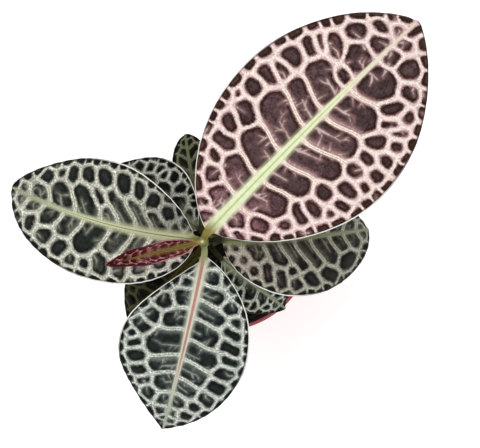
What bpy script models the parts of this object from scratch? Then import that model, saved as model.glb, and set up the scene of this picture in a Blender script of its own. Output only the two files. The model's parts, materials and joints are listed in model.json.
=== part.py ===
"""A small potted labisia: netted leaves on a short stem, in a plastic nursery pot.

The pot stands on z = 0 with its middle on the Z axis. Sizes are in millimetres
here and become metres when a mesh is made.
"""
import math
import random
from dataclasses import dataclass

import bmesh
import bpy
import numpy as np

MM = 0.001

# Pot
POT_HEIGHT = 75.0
RIM_RADIUS = 42.5
RIM_WIDTH = 1.8
LIP_DEPTH = 1.9
LIP_ROUND = 0.45
LIP_OUT = 0.9  # how far the lip stands out from the collar
COLLAR_HEIGHT = 9.0
COLLAR_TAPER = 0.4
COLLAR_STEP = 1.6
COLLAR_SLOPE = 0.9
BASE_RADIUS = 29.0
FOOT_ROUND = 1.0
WALL = 1.2
FLOOR = 1.4
POT_SIDES = 36
DRAIN_HOLES = 6
DRAIN_HOLE_RADIUS = 3.0
DRAIN_HOLE_CIRCLE = 19.0
DRAIN_HOLE_SIDES = 12
FOOT_SLOTS = 6
FOOT_SLOT_WIDTH = 5.0
FOOT_SLOT_HEIGHT = 3.0
CUTTER_LENGTH = 7.0

# Soil
GAP = 0.3
SOIL_LEVEL = 63.5
SOIL_EDGE_DROP = 2.0
SOIL_BUMP = 0.66
SOIL_BUMP_SPACING = 20.0
SOIL_MOUND = 2.0
SOIL_MOUND_REACH = 12.0
SOIL_CHAMFER = 1.0
SOIL_SIDES = 28
SOIL_RINGS = (1.0, 0.82, 0.62, 0.42, 0.22)  # from the wall in to the stem

# Stem
FOOT = np.array([-3.0, 0.0, 50.0])
CROWN = np.array([-8.2, -0.2, 116.0])
STEM_BEND = 1.4
STEM_FOOT_RADIUS = 3.3
STEM_TOP_RADIUS = 1.6
STEM_SIDES = 10
STEM_STEP = 11.0
SHORTEST_STEP = 1.6
NODE_SWELL = 0.35
BUD_LENGTH = 2.2
BUD_SHAPE = ((0.5, 0.75), (1.0, 0.3))  # shares of its length and of the stem's radius

# Blades
BLADE_THICK = 0.8
MARGIN_THICK = 0.65
WAVE_SHIFT = 1.5  # how far the waves of one margin run ahead of the middle, in radians
RIB_RISE = 0.25
RIB_TIP_WIDTH = 0.45
RIB_STEP = 9.0
MARGIN_STEP = 12.0
MARGIN_POINTS = 11
LEAST_BLADE = 0.4  # narrowest strip beside the midrib that still counts as blade
PETIOLE_WIDTH = 1.35
PETIOLE_DEPTH = 2.4
PETIOLE_ROUND = 0.45  # share of the half-depth at the petiole's edges
PETIOLE_STEP = 3.5
PETIOLE_SWEEP = 0.45  # how long the petiole keeps the midrib's direction
PETIOLE_GAP = 0.38

# The net on the blades
CELL_RAISE = 0.45
CELL_DOME = 0.3
CELL_BAND = 1.05
SMALL_CELL = 32.0  # square millimetres, below which a cell is a plain low peak
SHORTEST_EDGE = 1.8
SAME_POINT = 0.02
STRAIGHT = 0.3  # how far a point may lie off a straight vein and be left out
FIRST_CELL_REACH = 0.50  # how far out the cells beside the midrib reach
FULL_CELL_REACH = 0.85  # the same, on a leaf with no other rows
SEED_SHARES = (0.10, 0.47, 0.84)  # places of the pairs of seeds along a side vein
SEED_PAIR = 0.3  # half the spread of a pair, as a share of the space between veins
WIDEST_SPACE = 8.0
CELL_CLEAR = 0.55  # least share of the spacing between two cells' middles
CELL_JITTER = 0.12
ROW_JITTER = 0.15
VEIN_LEAN = 0.7
VEIN_CURVE = 0.6
CLEAR_VIEW = 0.25  # how far a cell's peak must lie inside each of its edges
SHARPEST_CORNER = 0.4
LONGEST_MITRE = 0.35
LEAST_SHRUNK = 0.15  # least share of an edge, or of the area, that an inset keeps


@dataclass
class Leaf:
    """One leaf. Left and right are as seen from its base towards its tip."""
    name: str
    base: tuple  # where the blade starts
    tip: tuple
    left: tuple  # half-width, roundness of the base, roundness of the tip
    right: tuple
    left_roots: tuple  # where the side veins leave the midrib, as fractions
    right_roots: tuple
    color: tuple
    arch: float = 8.0  # lift of the midrib's middle above a straight line
    bend: float = 0.0  # sideways bow of the midrib, to the left
    fold: float = 8.0  # degrees that each half rises from the midrib
    droop: float = 0.2  # fall of the margin, as a share of the half-width
    wave: float = 0.8  # height of the margin's waves
    waves: float = 2.5
    rib: float = 1.5  # half-width of the midrib at the base
    ridge: float = 1.3  # depth of the midrib below the blade, at the base
    sweep: float = 0.3  # how far side veins lean towards the tip
    rows: tuple = ((0.68, 7.5), (0.90, 6.0))  # outer rows: place and cell size
    fall: float = 1.5  # drop of the petiole from the blade to the stem
    seed: int = 1


MAROON = (0.26, 0.13, 0.14)
SILVER = (0.24, 0.30, 0.23)
GREEN = (0.13, 0.19, 0.12)
OLIVE = (0.10, 0.13, 0.05)
BURGUNDY = (0.25, 0.04, 0.06)

LEAVES = [
    Leaf("leaf_crown", (-5.4, 4.4, 117.0), (84.7, 94.6, 128.0),
         left=(37.7, 0.66, 0.74), right=(42.0, 0.74, 0.76),
         left_roots=(0.145, 0.241, 0.352, 0.469, 0.548, 0.653, 0.838),
         right_roots=(0.132, 0.243, 0.335, 0.431, 0.536, 0.649, 0.815),
         color=MAROON, arch=11.5, bend=0.7, fold=9.0, droop=0.22, wave=1.0,
         rib=2.1, ridge=1.6, rows=((0.62, 10.5), (0.79, 8.0), (0.94, 7.0)),
         fall=2.5, seed=4),
    Leaf("leaf_left", (-11.3, 0.9, 115.0), (-93.3, 24.0, 104.0),
         left=(24.8, 0.51, 0.59), right=(26.4, 0.69, 0.67),
         left_roots=(0.12, 0.21, 0.30, 0.41, 0.56, 0.67, 0.785, 0.87),
         right_roots=(0.11, 0.20, 0.28, 0.38, 0.46, 0.60, 0.75, 0.865),
         color=SILVER, arch=11.0, bend=4.0, fold=8.0, droop=0.25, wave=0.9,
         rows=((0.69, 7.5), (0.90, 6.5)), fall=1.5, seed=7),
    Leaf("leaf_front", (-7.4, -6.9, 114.5), (-26.2, -84.5, 100.0),
         left=(27.6, 0.71, 0.72), right=(28.0, 1.25, 1.10),
         left_roots=(0.135, 0.224, 0.327, 0.447, 0.561, 0.670, 0.753, 0.87),
         right_roots=(0.158, 0.285, 0.396, 0.545, 0.646, 0.758, 0.869),
         color=SILVER, arch=11.0, bend=0.9, fold=9.0, droop=0.22, wave=0.8,
         sweep=0.25, rows=((0.71, 7.5), (0.91, 6.5)), fall=3.0, seed=11),
    Leaf("leaf_right", (0.4, 0.4, 110.0), (66.8, 5.2, 92.0),
         left=(24.5, 0.70, 0.72), right=(25.5, 0.55, 0.48),
         left_roots=(0.12, 0.24, 0.35, 0.47, 0.58, 0.69, 0.80, 0.89),
         right_roots=(0.11, 0.25, 0.36, 0.46, 0.565, 0.70, 0.80, 0.90),
         color=GREEN, arch=10.0, bend=-1.3, fold=7.0, droop=0.25, wave=0.8,
         sweep=0.7, rows=((0.70, 7.5), (0.90, 6.5)), fall=3.5, seed=16),
    Leaf("leaf_back_left", (-10.2, 5.7, 109.0), (-51.1, 31.9, 96.0),
         left=(17.0, 0.80, 0.80), right=(18.4, 0.85, 0.85),
         left_roots=(0.16, 0.32, 0.48, 0.64, 0.80),
         right_roots=(0.18, 0.33, 0.50, 0.66, 0.82),
         color=GREEN, arch=6.0, fold=7.0, droop=0.22, wave=0.6, rib=1.2,
         rows=((0.74, 6.5),), fall=3.0, seed=21),
    Leaf("leaf_low_right", (0.4, -8.1, 103.5), (29.3, -31.3, 85.0),
         left=(11.5, 0.85, 0.80), right=(13.0, 0.90, 0.85),
         left_roots=(0.20, 0.38, 0.56, 0.76),
         right_roots=(0.18, 0.36, 0.55, 0.74),
         color=GREEN, arch=6.0, fold=7.0, droop=0.2, wave=0.5, rib=1.1,
         sweep=0.6, rows=((0.78, 5.5),), fall=4.0, seed=24),
    Leaf("leaf_low_left", (-11.0, -6.0, 103.5), (-41.5, -38.5, 87.0),
         left=(15.0, 0.85, 0.80), right=(17.0, 0.85, 0.78),
         left_roots=(0.18, 0.36, 0.55, 0.75),
         right_roots=(0.20, 0.38, 0.56, 0.74),
         color=OLIVE, arch=6.0, fold=7.0, droop=0.2, wave=0.6, rib=1.4,
         rows=((0.76, 6.0),), fall=3.0, seed=28),
    Leaf("leaf_back", (-9.5, 5.7, 99.5), (-16.7, 48.6, 88.0),
         left=(8.0, 0.90, 0.62), right=(11.0, 0.90, 0.62),
         left_roots=(0.22, 0.42, 0.62, 0.80),
         right_roots=(0.20, 0.40, 0.60, 0.78),
         color=OLIVE, arch=5.0, fold=7.0, droop=0.2, wave=0.5, rib=1.0,
         sweep=0.8, rows=((0.80, 5.5),), fall=3.0, seed=33),
    Leaf("leaf_young", (-10.6, -0.8, 118.0), (-47.8, -9.6, 143.0),
         left=(7.2, 0.75, 0.75), right=(7.2, 0.75, 0.75),
         left_roots=(0.14, 0.24, 0.34, 0.44, 0.54, 0.64, 0.74, 0.84),
         right_roots=(0.12, 0.22, 0.32, 0.42, 0.52, 0.62, 0.72, 0.83),
         color=BURGUNDY, arch=2.0, fold=48.0, droop=-0.12, wave=0.3, rib=0.9,
         ridge=0.7, sweep=0.2, rows=(), fall=1.2, seed=38),
]


def clear_scene():
    for item in list(bpy.data.objects):
        bpy.data.objects.remove(item)


def material(name, color, roughness=0.5):
    made = bpy.data.materials.new(name)
    made.use_nodes = True
    shader = made.node_tree.nodes["Principled BSDF"]
    shader.inputs["Base Color"].default_value = (*color, 1.0)
    shader.inputs["Roughness"].default_value = roughness
    shader.inputs["Metallic"].default_value = 0.0
    return made


def add_object(name, verts, faces, finish, smooth=True):
    """Make an object of points in millimetres."""
    mesh = bpy.data.meshes.new(name)
    mesh.from_pydata([tuple(float(c) * MM for c in v) for v in verts], [], faces)
    mesh.materials.append(finish)
    if smooth:
        mesh.shade_smooth()
        mesh.set_sharp_from_angle(angle=math.radians(40))
    made = bpy.data.objects.new(name, mesh)
    bpy.context.scene.collection.objects.link(made)
    return made


def unit(vector):
    return vector / np.linalg.norm(vector)


# The pot

def pot_wall_radius(z):
    """Outer radius of the tapered wall at a height."""
    top = RIM_RADIUS - LIP_OUT - COLLAR_TAPER - COLLAR_STEP
    return BASE_RADIUS + (top - BASE_RADIUS) * z / (POT_HEIGHT - COLLAR_HEIGHT)


def pot_profile():
    """The pot's section, from the lip down the outside and up the inside."""
    collar = POT_HEIGHT - COLLAR_HEIGHT
    collar_top = RIM_RADIUS - LIP_OUT
    collar_foot = collar_top - COLLAR_TAPER
    side = pot_wall_radius(collar)
    inner_lip = RIM_RADIUS - RIM_WIDTH
    inner_foot = FLOOR + FOOT_ROUND
    return [
        (RIM_RADIUS - LIP_ROUND, POT_HEIGHT),
        (RIM_RADIUS, POT_HEIGHT - LIP_ROUND),
        (RIM_RADIUS, POT_HEIGHT - LIP_DEPTH + LIP_ROUND),
        (collar_top, POT_HEIGHT - LIP_DEPTH),
        (collar_foot, collar),
        (side, collar - COLLAR_SLOPE),
        (pot_wall_radius(FOOT_ROUND), FOOT_ROUND),
        (BASE_RADIUS - FOOT_ROUND, 0.0),
        (0.0, 0.0),
        (0.0, FLOOR),
        (pot_wall_radius(FLOOR) - WALL - FOOT_ROUND / 2, FLOOR),
        (pot_wall_radius(inner_foot) - WALL, inner_foot),
        (side - WALL, collar),
        (collar_foot - WALL, collar + COLLAR_SLOPE),
        (inner_lip, POT_HEIGHT - LIP_ROUND),
        (inner_lip + LIP_ROUND, POT_HEIGHT),
    ]


def make_pot(finish):
    shape = bmesh.new()
    points = [shape.verts.new((r * MM, 0.0, z * MM)) for r, z in pot_profile()]
    edges = [shape.edges.new(pair) for pair in zip(points, points[1:] + points[:1])]
    bmesh.ops.spin(shape, geom=points + edges, cent=(0, 0, 0), axis=(0, 0, 1),
                   angle=math.tau, steps=POT_SIDES, use_merge=True)
    bmesh.ops.remove_doubles(shape, verts=shape.verts, dist=0.01 * MM)
    bmesh.ops.dissolve_degenerate(shape, edges=shape.edges, dist=0.001 * MM)
    bmesh.ops.recalc_face_normals(shape, faces=shape.faces)
    mesh = bpy.data.meshes.new("pot")
    shape.to_mesh(mesh)
    shape.free()
    mesh.materials.append(finish)
    mesh.shade_smooth()
    mesh.set_sharp_from_angle(angle=math.radians(35))
    pot = bpy.data.objects.new("pot", mesh)
    bpy.context.scene.collection.objects.link(pot)
    drain = pot.modifiers.new("drain", "BOOLEAN")
    drain.operation = "DIFFERENCE"
    drain.operand_type = "COLLECTION"
    drain.collection = make_drain_cutters()
    return pot


def make_drain_cutters():
    """Round holes in the floor, and slots low in the wall between them."""
    cutters = bpy.data.collections.new("drain_cutters")
    bpy.context.scene.collection.children.link(cutters)
    for index in range(DRAIN_HOLES):
        angle = math.tau * index / DRAIN_HOLES + math.pi / POT_SIDES
        middle = (DRAIN_HOLE_CIRCLE * math.cos(angle), DRAIN_HOLE_CIRCLE * math.sin(angle))
        shape = bmesh.new()
        bmesh.ops.create_cone(shape, cap_ends=True, segments=DRAIN_HOLE_SIDES,
                              radius1=DRAIN_HOLE_RADIUS * MM, radius2=DRAIN_HOLE_RADIUS * MM,
                              depth=CUTTER_LENGTH * MM)
        add_cutter(cutters, f"drain_hole_{index}", shape, (*middle, FLOOR / 2), 0.0)
    for index in range(FOOT_SLOTS):
        angle = math.tau * (index + 0.5) / FOOT_SLOTS
        middle = (BASE_RADIUS * math.cos(angle), BASE_RADIUS * math.sin(angle))
        shape = bmesh.new()
        bmesh.ops.create_cube(shape, size=1.0)
        size = (CUTTER_LENGTH, FOOT_SLOT_WIDTH, 2 * FOOT_SLOT_HEIGHT)
        bmesh.ops.scale(shape, verts=shape.verts, vec=[length * MM for length in size])
        add_cutter(cutters, f"foot_slot_{index}", shape, (*middle, 0.0), angle)
    return cutters


def add_cutter(cutters, name, shape, place, turn):
    mesh = bpy.data.meshes.new(name)
    shape.to_mesh(mesh)
    shape.free()
    cutter = bpy.data.objects.new(name, mesh)
    cutter.location = [c * MM for c in place]
    cutter.rotation_euler = (0, 0, turn)
    cutter.hide_render = True
    cutter.display_type = "WIRE"
    cutters.objects.link(cutter)


# The soil and the stem

def stem_axis(z):
    """Middle of the stem at a height: it leans and bends away from the pot's middle."""
    share = max(0.0, (z - FOOT[2]) / (CROWN[2] - FOOT[2]))
    middle = FOOT + (CROWN - FOOT) * share ** STEM_BEND
    middle[2] = z
    return middle


def stem_radius(z):
    share = (z - FOOT[2]) / (CROWN[2] - FOOT[2])
    return STEM_FOOT_RADIUS + (STEM_TOP_RADIUS - STEM_FOOT_RADIUS) * share


def soil_radius(z):
    """How far the soil reaches at a height, inside the flat-sided wall."""
    return (pot_wall_radius(z) - WALL) * math.cos(math.pi / POT_SIDES) - GAP


def soil_height(x, y):
    """Uneven top of the soil, a little higher round the stem."""
    turn = math.tau / SOIL_BUMP_SPACING
    bump = math.sin(turn * x + 1.3) * math.cos(turn * y - 0.4)
    bump += 0.6 * math.sin(1.5 * turn * x + 2.0 * turn * y)
    away = math.hypot(x - FOOT[0], y - FOOT[1])
    mound = SOIL_MOUND * math.exp(-(away / SOIL_MOUND_REACH) ** 2)
    return SOIL_LEVEL + SOIL_BUMP * bump + mound


def make_soil(finish):
    hole_radius = stem_radius(FOOT[2]) + GAP
    hole_floor = FOOT[2] - GAP
    soil_floor = FLOOR + GAP
    edge_height = SOIL_LEVEL - SOIL_EDGE_DROP
    top_radius = soil_radius(edge_height)
    foot_radius = soil_radius(FLOOR)
    rings = []

    def ring(middle, radius, height):
        points = []
        for index in range(SOIL_SIDES):
            angle = math.tau * index / SOIL_SIDES
            x = middle[0] + radius * math.cos(angle)
            y = middle[1] + radius * math.sin(angle)
            points.append((x, y, soil_height(x, y) if height is None else height))
        rings.append(points)

    ring((0, 0), foot_radius - SOIL_CHAMFER, soil_floor)
    ring((0, 0), foot_radius, soil_floor + SOIL_CHAMFER)
    ring((0, 0), top_radius, edge_height)
    for share in SOIL_RINGS:
        middle = FOOT[:2] * (1 - share)
        ring(middle, hole_radius + (top_radius - hole_radius) * share, None)
    mouth = stem_axis(SOIL_LEVEL + SOIL_MOUND)
    ring(mouth, hole_radius, None)
    ring(FOOT, hole_radius, hole_floor)
    verts, faces = join_rings(rings)
    return add_object("soil", verts, faces, finish, smooth=False)


def join_rings(rings):
    """Bridge rings of equal length into a closed skin with flat ends."""
    count = len(rings[0])
    verts = [point for ring in rings for point in ring]
    faces = []
    for row in range(len(rings) - 1):
        for index in range(count):
            after = (index + 1) % count
            a = row * count + index
            b = row * count + after
            faces.append((a, b, b + count))
            faces.append((a, b + count, a + count))
    faces.append(tuple(reversed(range(count))))
    last = (len(rings) - 1) * count
    faces.append(tuple(range(last, last + count)))
    return verts, faces


def make_stem(finish):
    """A leaning stem, thicker where each petiole joins it, with a bud on top."""
    joints = sorted(leaf.base[2] - leaf.fall for leaf in LEAVES)
    heights = list(np.arange(FOOT[2], joints[0] - SHORTEST_STEP, STEM_STEP))
    for height in joints + [CROWN[2]]:
        if SHORTEST_STEP < height - heights[-1] <= CROWN[2] - heights[-1]:
            heights.append(height)
    rings = []
    for height in heights:
        near = min(abs(height - joint) for joint in joints)
        radius = stem_radius(height) + NODE_SWELL * math.exp(-near ** 2)
        rings.append(circle(stem_axis(height), radius))
    for share, radius in BUD_SHAPE:
        lift = np.array([0.0, 0.0, share * BUD_LENGTH])
        rings.append(circle(stem_axis(heights[-1]) + lift, radius * STEM_TOP_RADIUS))
    verts, faces = join_rings(rings)
    return add_object("stem", verts, faces, finish)


def circle(middle, radius):
    points = []
    for index in range(STEM_SIDES):
        angle = math.tau * index / STEM_SIDES
        points.append(middle + radius * np.array([math.cos(angle), math.sin(angle), 0.0]))
    return points


# The form of a blade

class Blade:
    """The curved surface of one leaf, in lengths along and out from its midrib."""

    def __init__(self, leaf):
        self.leaf = leaf
        self.base = np.array(leaf.base)
        self.tip = np.array(leaf.tip)
        chord = self.tip - self.base
        self.level = unit(np.array([-chord[1], chord[0], 0.0]))
        steps = [self.midrib(i / 40) for i in range(41)]
        self.length = sum(np.linalg.norm(b - a) for a, b in zip(steps, steps[1:]))

    def midrib(self, u):
        bow = 4 * u * (1 - u)
        lift = np.array([0.0, 0.0, self.leaf.arch * bow])
        return self.base + (self.tip - self.base) * u + lift + self.level * self.leaf.bend * bow

    def frame(self, u):
        """Point on the midrib, with the directions along, across and up."""
        step = 0.002
        along = unit(self.midrib(u + step) - self.midrib(u - step))
        across = unit(np.cross([0.0, 0.0, 1.0], along))
        return self.midrib(u), along, across, np.cross(along, across)

    def half_width(self, side, s):
        """Width of one half at the length s along the midrib."""
        width, base_round, tip_round = self.leaf.left if side > 0 else self.leaf.right
        u = min(max(s / self.length, 0.0), 1.0)
        peak = base_round / (base_round + tip_round)
        top = peak ** base_round * (1 - peak) ** tip_round
        return width * u ** base_round * (1 - u) ** tip_round / top

    def rib_width(self, s):
        return self.leaf.rib + (RIB_TIP_WIDTH - self.leaf.rib) * s / self.length

    def point(self, side, s, t):
        """Place of a point at length s, and distance t out on one side."""
        leaf = self.leaf
        u = min(max(s / self.length, 0.0), 1.0)
        middle, _, across, up = self.frame(u)
        width = max(self.half_width(side, s), self.rib_width(s))
        v = t / width
        turn = math.radians(leaf.fold)
        out = across * side * math.cos(turn) + up * math.sin(turn)
        over = up * math.cos(turn) - across * side * math.sin(turn)
        ripple = leaf.wave * math.sin(math.tau * leaf.waves * u + WAVE_SHIFT * side)
        return middle + out * t + over * v * v * (ripple - leaf.droop * width)

    def normal(self, side, s, t):
        step = 0.3
        ahead = self.point(side, s + step, t) - self.point(side, s - step, t)
        outward = self.point(side, s, t + step) - self.point(side, s, t - step)
        return unit(np.cross(ahead, outward) * side)


# The net of veins

def clip(polygon, x, y, nx, ny):
    """Keep the part of a polygon that lies behind the line through x, y."""
    kept = []
    for (ax, ay), (bx, by) in zip(polygon, polygon[1:] + polygon[:1]):
        a = (ax - x) * nx + (ay - y) * ny
        b = (bx - x) * nx + (by - y) * ny
        if a <= 0:
            kept.append((ax, ay))
        if a * b < 0:
            share = a / (a - b)
            kept.append((ax + (bx - ax) * share, ay + (by - ay) * share))
    return kept


class Net:
    """The cells between the veins of one half of a blade, on its flattened half."""

    def __init__(self, blade, side):
        self.blade = blade
        self.side = side
        self.draw = random.Random(blade.leaf.seed * 2 + (side > 0))
        self.outline = self.trace_outline()
        self.points = []
        self.lookup = {}
        self.cells = []
        self.split()
        self.corners = {self.index(self.outline[0]), self.index(self.outline[-1])}
        self.drop_short_edges()
        self.join_groups()
        self.straighten()

    def trace_outline(self):
        """The half-blade's edge: out along the margin, and back along the midrib."""
        blade = self.blade
        count = MARGIN_POINTS + int(blade.length / MARGIN_STEP)
        margin = []
        for index in range(1, 400):
            s = blade.length * index / 400
            if blade.half_width(self.side, s) > blade.rib_width(s) + LEAST_BLADE:
                margin.append(s)
        start, end = margin[0], margin[-1]
        outline = [(start, blade.rib_width(start))]
        for index in range(1, count):
            s = start + (end - start) * (1 - math.cos(math.pi * index / count)) / 2
            outline.append((s, blade.half_width(self.side, s)))
        outline.append((end, blade.rib_width(end)))
        return outline

    def row(self, share, spacing):
        """Even places along the line at a share of the half-width."""
        blade = self.blade
        walk = [(blade.length * i / 200, share * blade.half_width(self.side, blade.length * i / 200))
                for i in range(201)]
        length = sum(math.dist(a, b) for a, b in zip(walk, walk[1:]))
        count = max(2, round(length / spacing))
        places = []
        passed = 0.0
        wanted = length / count * (0.5 + self.draw.uniform(-ROW_JITTER, ROW_JITTER))
        for a, b in zip(walk, walk[1:]):
            passed += math.dist(a, b)
            if passed >= wanted:
                places.append(b)
                wanted += length / count * (1 + self.draw.uniform(-ROW_JITTER, ROW_JITTER))
        return places

    def seeds(self):
        """Middles of the cells. Cells beside the midrib have several, and a shared group."""
        blade = self.blade
        leaf = blade.leaf
        roots = leaf.left_roots if self.side > 0 else leaf.right_roots
        places = []
        for order, root in enumerate(roots):
            s = root * blade.length
            before = s - (roots[order - 1] * blade.length if order else 0.0)
            after = (roots[order + 1] if order + 1 < len(roots) else 1.0) * blade.length - s
            offset = SEED_PAIR * min(before, after, WIDEST_SPACE)
            width = blade.half_width(self.side, s)
            reach = FIRST_CELL_REACH if leaf.rows else FULL_CELL_REACH
            for share in SEED_SHARES:
                t = blade.rib_width(s) + share * reach * width
                lean = leaf.sweep * (VEIN_LEAN + VEIN_CURVE * share)
                slope = leaf.sweep * (VEIN_LEAN + 2 * VEIN_CURVE * share)
                along = offset / math.hypot(1.0, slope)
                places.append((order, s + lean * t - along, t + along * slope))
                places.append((order + 1, s + lean * t + along, t - along * slope))
        outer = []
        for share, spacing in leaf.rows:
            for s, t in self.row(share, spacing):
                jitter = CELL_JITTER * spacing
                outer.append((s + self.draw.uniform(-jitter, jitter),
                              t + self.draw.uniform(-jitter, jitter) / 2, spacing))
        group = len(roots) + 1
        kept = [(s, t) for _, s, t in places]
        for s, t, spacing in outer:
            if all(math.dist((s, t), other) > CELL_CLEAR * spacing for other in kept):
                places.append((group, s, t))
                kept.append((s, t))
                group += 1
        inside = []
        for group, s, t in places:
            if blade.rib_width(s) < t < blade.half_width(self.side, s) - LEAST_BLADE:
                inside.append((group, s, t))
        return inside

    def split(self):
        """Divide the half-blade into the areas nearest to each seed."""
        seeds = self.seeds()
        for group, s, t in seeds:
            area = list(self.outline)
            others = sorted((math.dist((s, t), (x, y)), x, y) for _, x, y in seeds)
            for distance, x, y in others[1:]:
                if distance / 2 > max(math.dist((s, t), corner) for corner in area):
                    break
                area = clip(area, (s + x) / 2, (t + y) / 2, x - s, y - t)
            loop = self.tidy([self.index(corner) for corner in area])
            if len(loop) > 2:
                self.cells.append((group, loop))

    def index(self, place):
        """Number of a point, the same for points that lie together."""
        key = (round(place[0] / SAME_POINT), round(place[1] / SAME_POINT))
        for dx in (-2, -1, 0, 1, 2):
            for dy in (-2, -1, 0, 1, 2):
                near = self.lookup.get((key[0] + dx, key[1] + dy))
                if near is not None and math.dist(self.points[near], place) < 1.5 * SAME_POINT:
                    return near
        self.lookup[key] = len(self.points)
        self.points.append(place)
        return len(self.points) - 1

    @staticmethod
    def tidy(loop):
        """Leave out repeated points, and spikes that run out and back."""
        loop = [a for a, b in zip(loop, loop[1:] + loop[:1]) if a != b]
        for at in range(len(loop)):
            if len(loop) > 3 and loop[at - 1] == loop[(at + 1) % len(loop)]:
                return Net.tidy(loop[:at] + loop[at + 1:])
        return loop

    def border(self):
        """Edges with a cell on one side only."""
        edges = {pair for _, loop in self.cells for pair in zip(loop, loop[1:] + loop[:1])}
        return {(a, b) for a, b in edges if (b, a) not in edges}

    def drop_short_edges(self):
        for _ in range(8):
            border = self.border()
            rim = {a for a, _ in border}
            meets = {}
            for _, loop in self.cells:
                for corner in loop:
                    meets[corner] = meets.get(corner, 0) + 1
            edges = {(min(a, b), max(a, b)) for _, loop in self.cells
                     for a, b in zip(loop, loop[1:] + loop[:1])}
            short = sorted((math.dist(self.points[a], self.points[b]), a, b) for a, b in edges)
            swap = {}
            touched = set()
            for length, a, b in short:
                if length > SHORTEST_EDGE:
                    break
                chord = a in rim and b in rim and (a, b) not in border and (b, a) not in border
                if a in touched or b in touched or chord or {a, b} <= self.corners:
                    continue
                rank = {c: (c in self.corners) * 4 + (c in rim) * 2 + (meets[c] > 1) for c in (a, b)}
                keep, gone = (a, b) if rank[a] >= rank[b] else (b, a)
                if not {a, b} & rim:
                    middle = [(p + q) / 2 for p, q in zip(self.points[a], self.points[b])]
                    self.points[keep] = tuple(middle)
                swap[gone] = keep
                touched |= {a, b}
            if not swap:
                return
            cells = [(group, self.tidy([swap.get(c, c) for c in loop])) for group, loop in self.cells]
            self.cells = [(group, loop) for group, loop in cells if len(loop) > 2]

    def join_groups(self):
        """Make one cell of the areas that share a group."""
        joined = []
        for group in sorted({group for group, _ in self.cells}):
            loops = [loop for other, loop in self.cells if other == group]
            edges = {pair for loop in loops for pair in zip(loop, loop[1:] + loop[:1])}
            after = {a: b for a, b in edges if (b, a) not in edges}
            outer = [pair for pair in edges if (pair[1], pair[0]) not in edges]
            start = min(after)
            loop = [start]
            while after[loop[-1]] != start:
                loop.append(after[loop[-1]])
            if len(loop) == len(outer) and len(after) == len(outer):
                joined.append(self.tidy(loop))
            else:
                joined.extend(loops)
        self.cells = list(enumerate(joined))

    def straighten(self):
        """Leave out points that hardly bend the vein, or the midrib's edge, they lie on."""
        margin = {self.index(place) for place in self.outline}
        users = {}
        for number, (_, loop) in enumerate(self.cells):
            for corner in loop:
                users.setdefault(corner, set()).add(number)
        rim = {a for a, _ in self.border()}
        for corner, owners in users.items():
            sides = 1 if corner in rim else 2
            if corner in margin or len(owners) != sides:
                continue
            loop = self.cells[min(owners)][1]
            at = loop.index(corner)
            before = self.points[loop[at - 1]]
            after = self.points[loop[(at + 1) % len(loop)]]
            bulge = 2 * area_of([before, self.points[corner], after]) / math.dist(before, after)
            if abs(bulge) < STRAIGHT and min(len(self.cells[n][1]) for n in owners) > 4:
                for number in owners:
                    self.cells[number][1].remove(corner)

    def rib_chain(self):
        """Points along the midrib, from base to tip."""
        chain = set()
        for a, b in self.border():
            for corner in (a, b):
                s, t = self.points[corner]
                if abs(t - self.blade.rib_width(s)) < 0.02 or corner in self.corners:
                    chain.add(corner)
        return sorted(chain, key=lambda corner: self.points[corner][0])


def area_of(loop):
    pairs = zip(loop, loop[1:] + loop[:1])
    return 0.5 * sum(ax * by - bx * ay for (ax, ay), (bx, by) in pairs)


def middle_of(loop):
    """A point that sees every edge of the loop from inside, or None."""
    def worst(point):
        pairs = zip(loop, loop[1:] + loop[:1])
        return min(area_of([a, b, point]) / math.dist(a, b) for a, b in pairs)

    tries = [((ax + bx) / 2, (ay + by) / 2) for ax, ay in loop for bx, by in loop if ax < bx]
    tries.append((sum(x for x, _ in loop) / len(loop), sum(y for _, y in loop) / len(loop)))
    best = max(tries, key=worst)
    return best if worst(best) > CLEAR_VIEW else None


def ears(loop):
    """Triangles that fill a loop with inward corners, cut off one corner at a time."""
    left = list(range(len(loop)))
    triangles = []
    while len(left) > 3:
        best = (0.0, 0)
        for at in range(len(left)):
            trio = (left[at - 1], left[at], left[(at + 1) % len(left)])
            corners = [loop[n] for n in trio]
            longest = max(math.dist(a, b) for a, b in zip(corners, corners[1:] + corners[:1]))
            score = area_of(corners) / longest ** 2
            if score > best[0] and not any(holds(corners, loop[n]) for n in left if n not in trio):
                best = (score, at)
        at = best[1]
        triangles.append((left[at - 1], left[at], left[(at + 1) % len(left)]))
        left.pop(at)
    return triangles + [tuple(left)]


def holds(corners, point):
    a, b, c = corners
    return min(area_of([a, b, point]), area_of([b, c, point]), area_of([c, a, point])) >= 0


def inset(loop, band):
    """The loop moved inwards by a band, or None where it would fold over itself."""
    count = len(loop)
    moved = []
    for index in range(count):
        before, here, after = loop[index - 1], loop[index], loop[(index + 1) % count]
        first = unit(np.subtract(here, before))
        second = unit(np.subtract(after, here))
        inward = np.array([-(first[1] + second[1]), first[0] + second[0]])
        size = np.linalg.norm(inward)
        if size < SHARPEST_CORNER:
            return None
        inward = inward / size
        reach = band / max(LONGEST_MITRE, abs(inward @ np.array([-first[1], first[0]])))
        moved.append((here[0] + inward[0] * reach, here[1] + inward[1] * reach))
    for index in range(count):
        after = (index + 1) % count
        old = np.subtract(loop[after], loop[index])
        new = np.subtract(moved[after], moved[index])
        if old @ new < LEAST_SHRUNK * (old @ old):
            return None
    return moved if area_of(moved) > LEAST_SHRUNK * area_of(loop) else None


# One leaf as a closed skin

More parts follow.
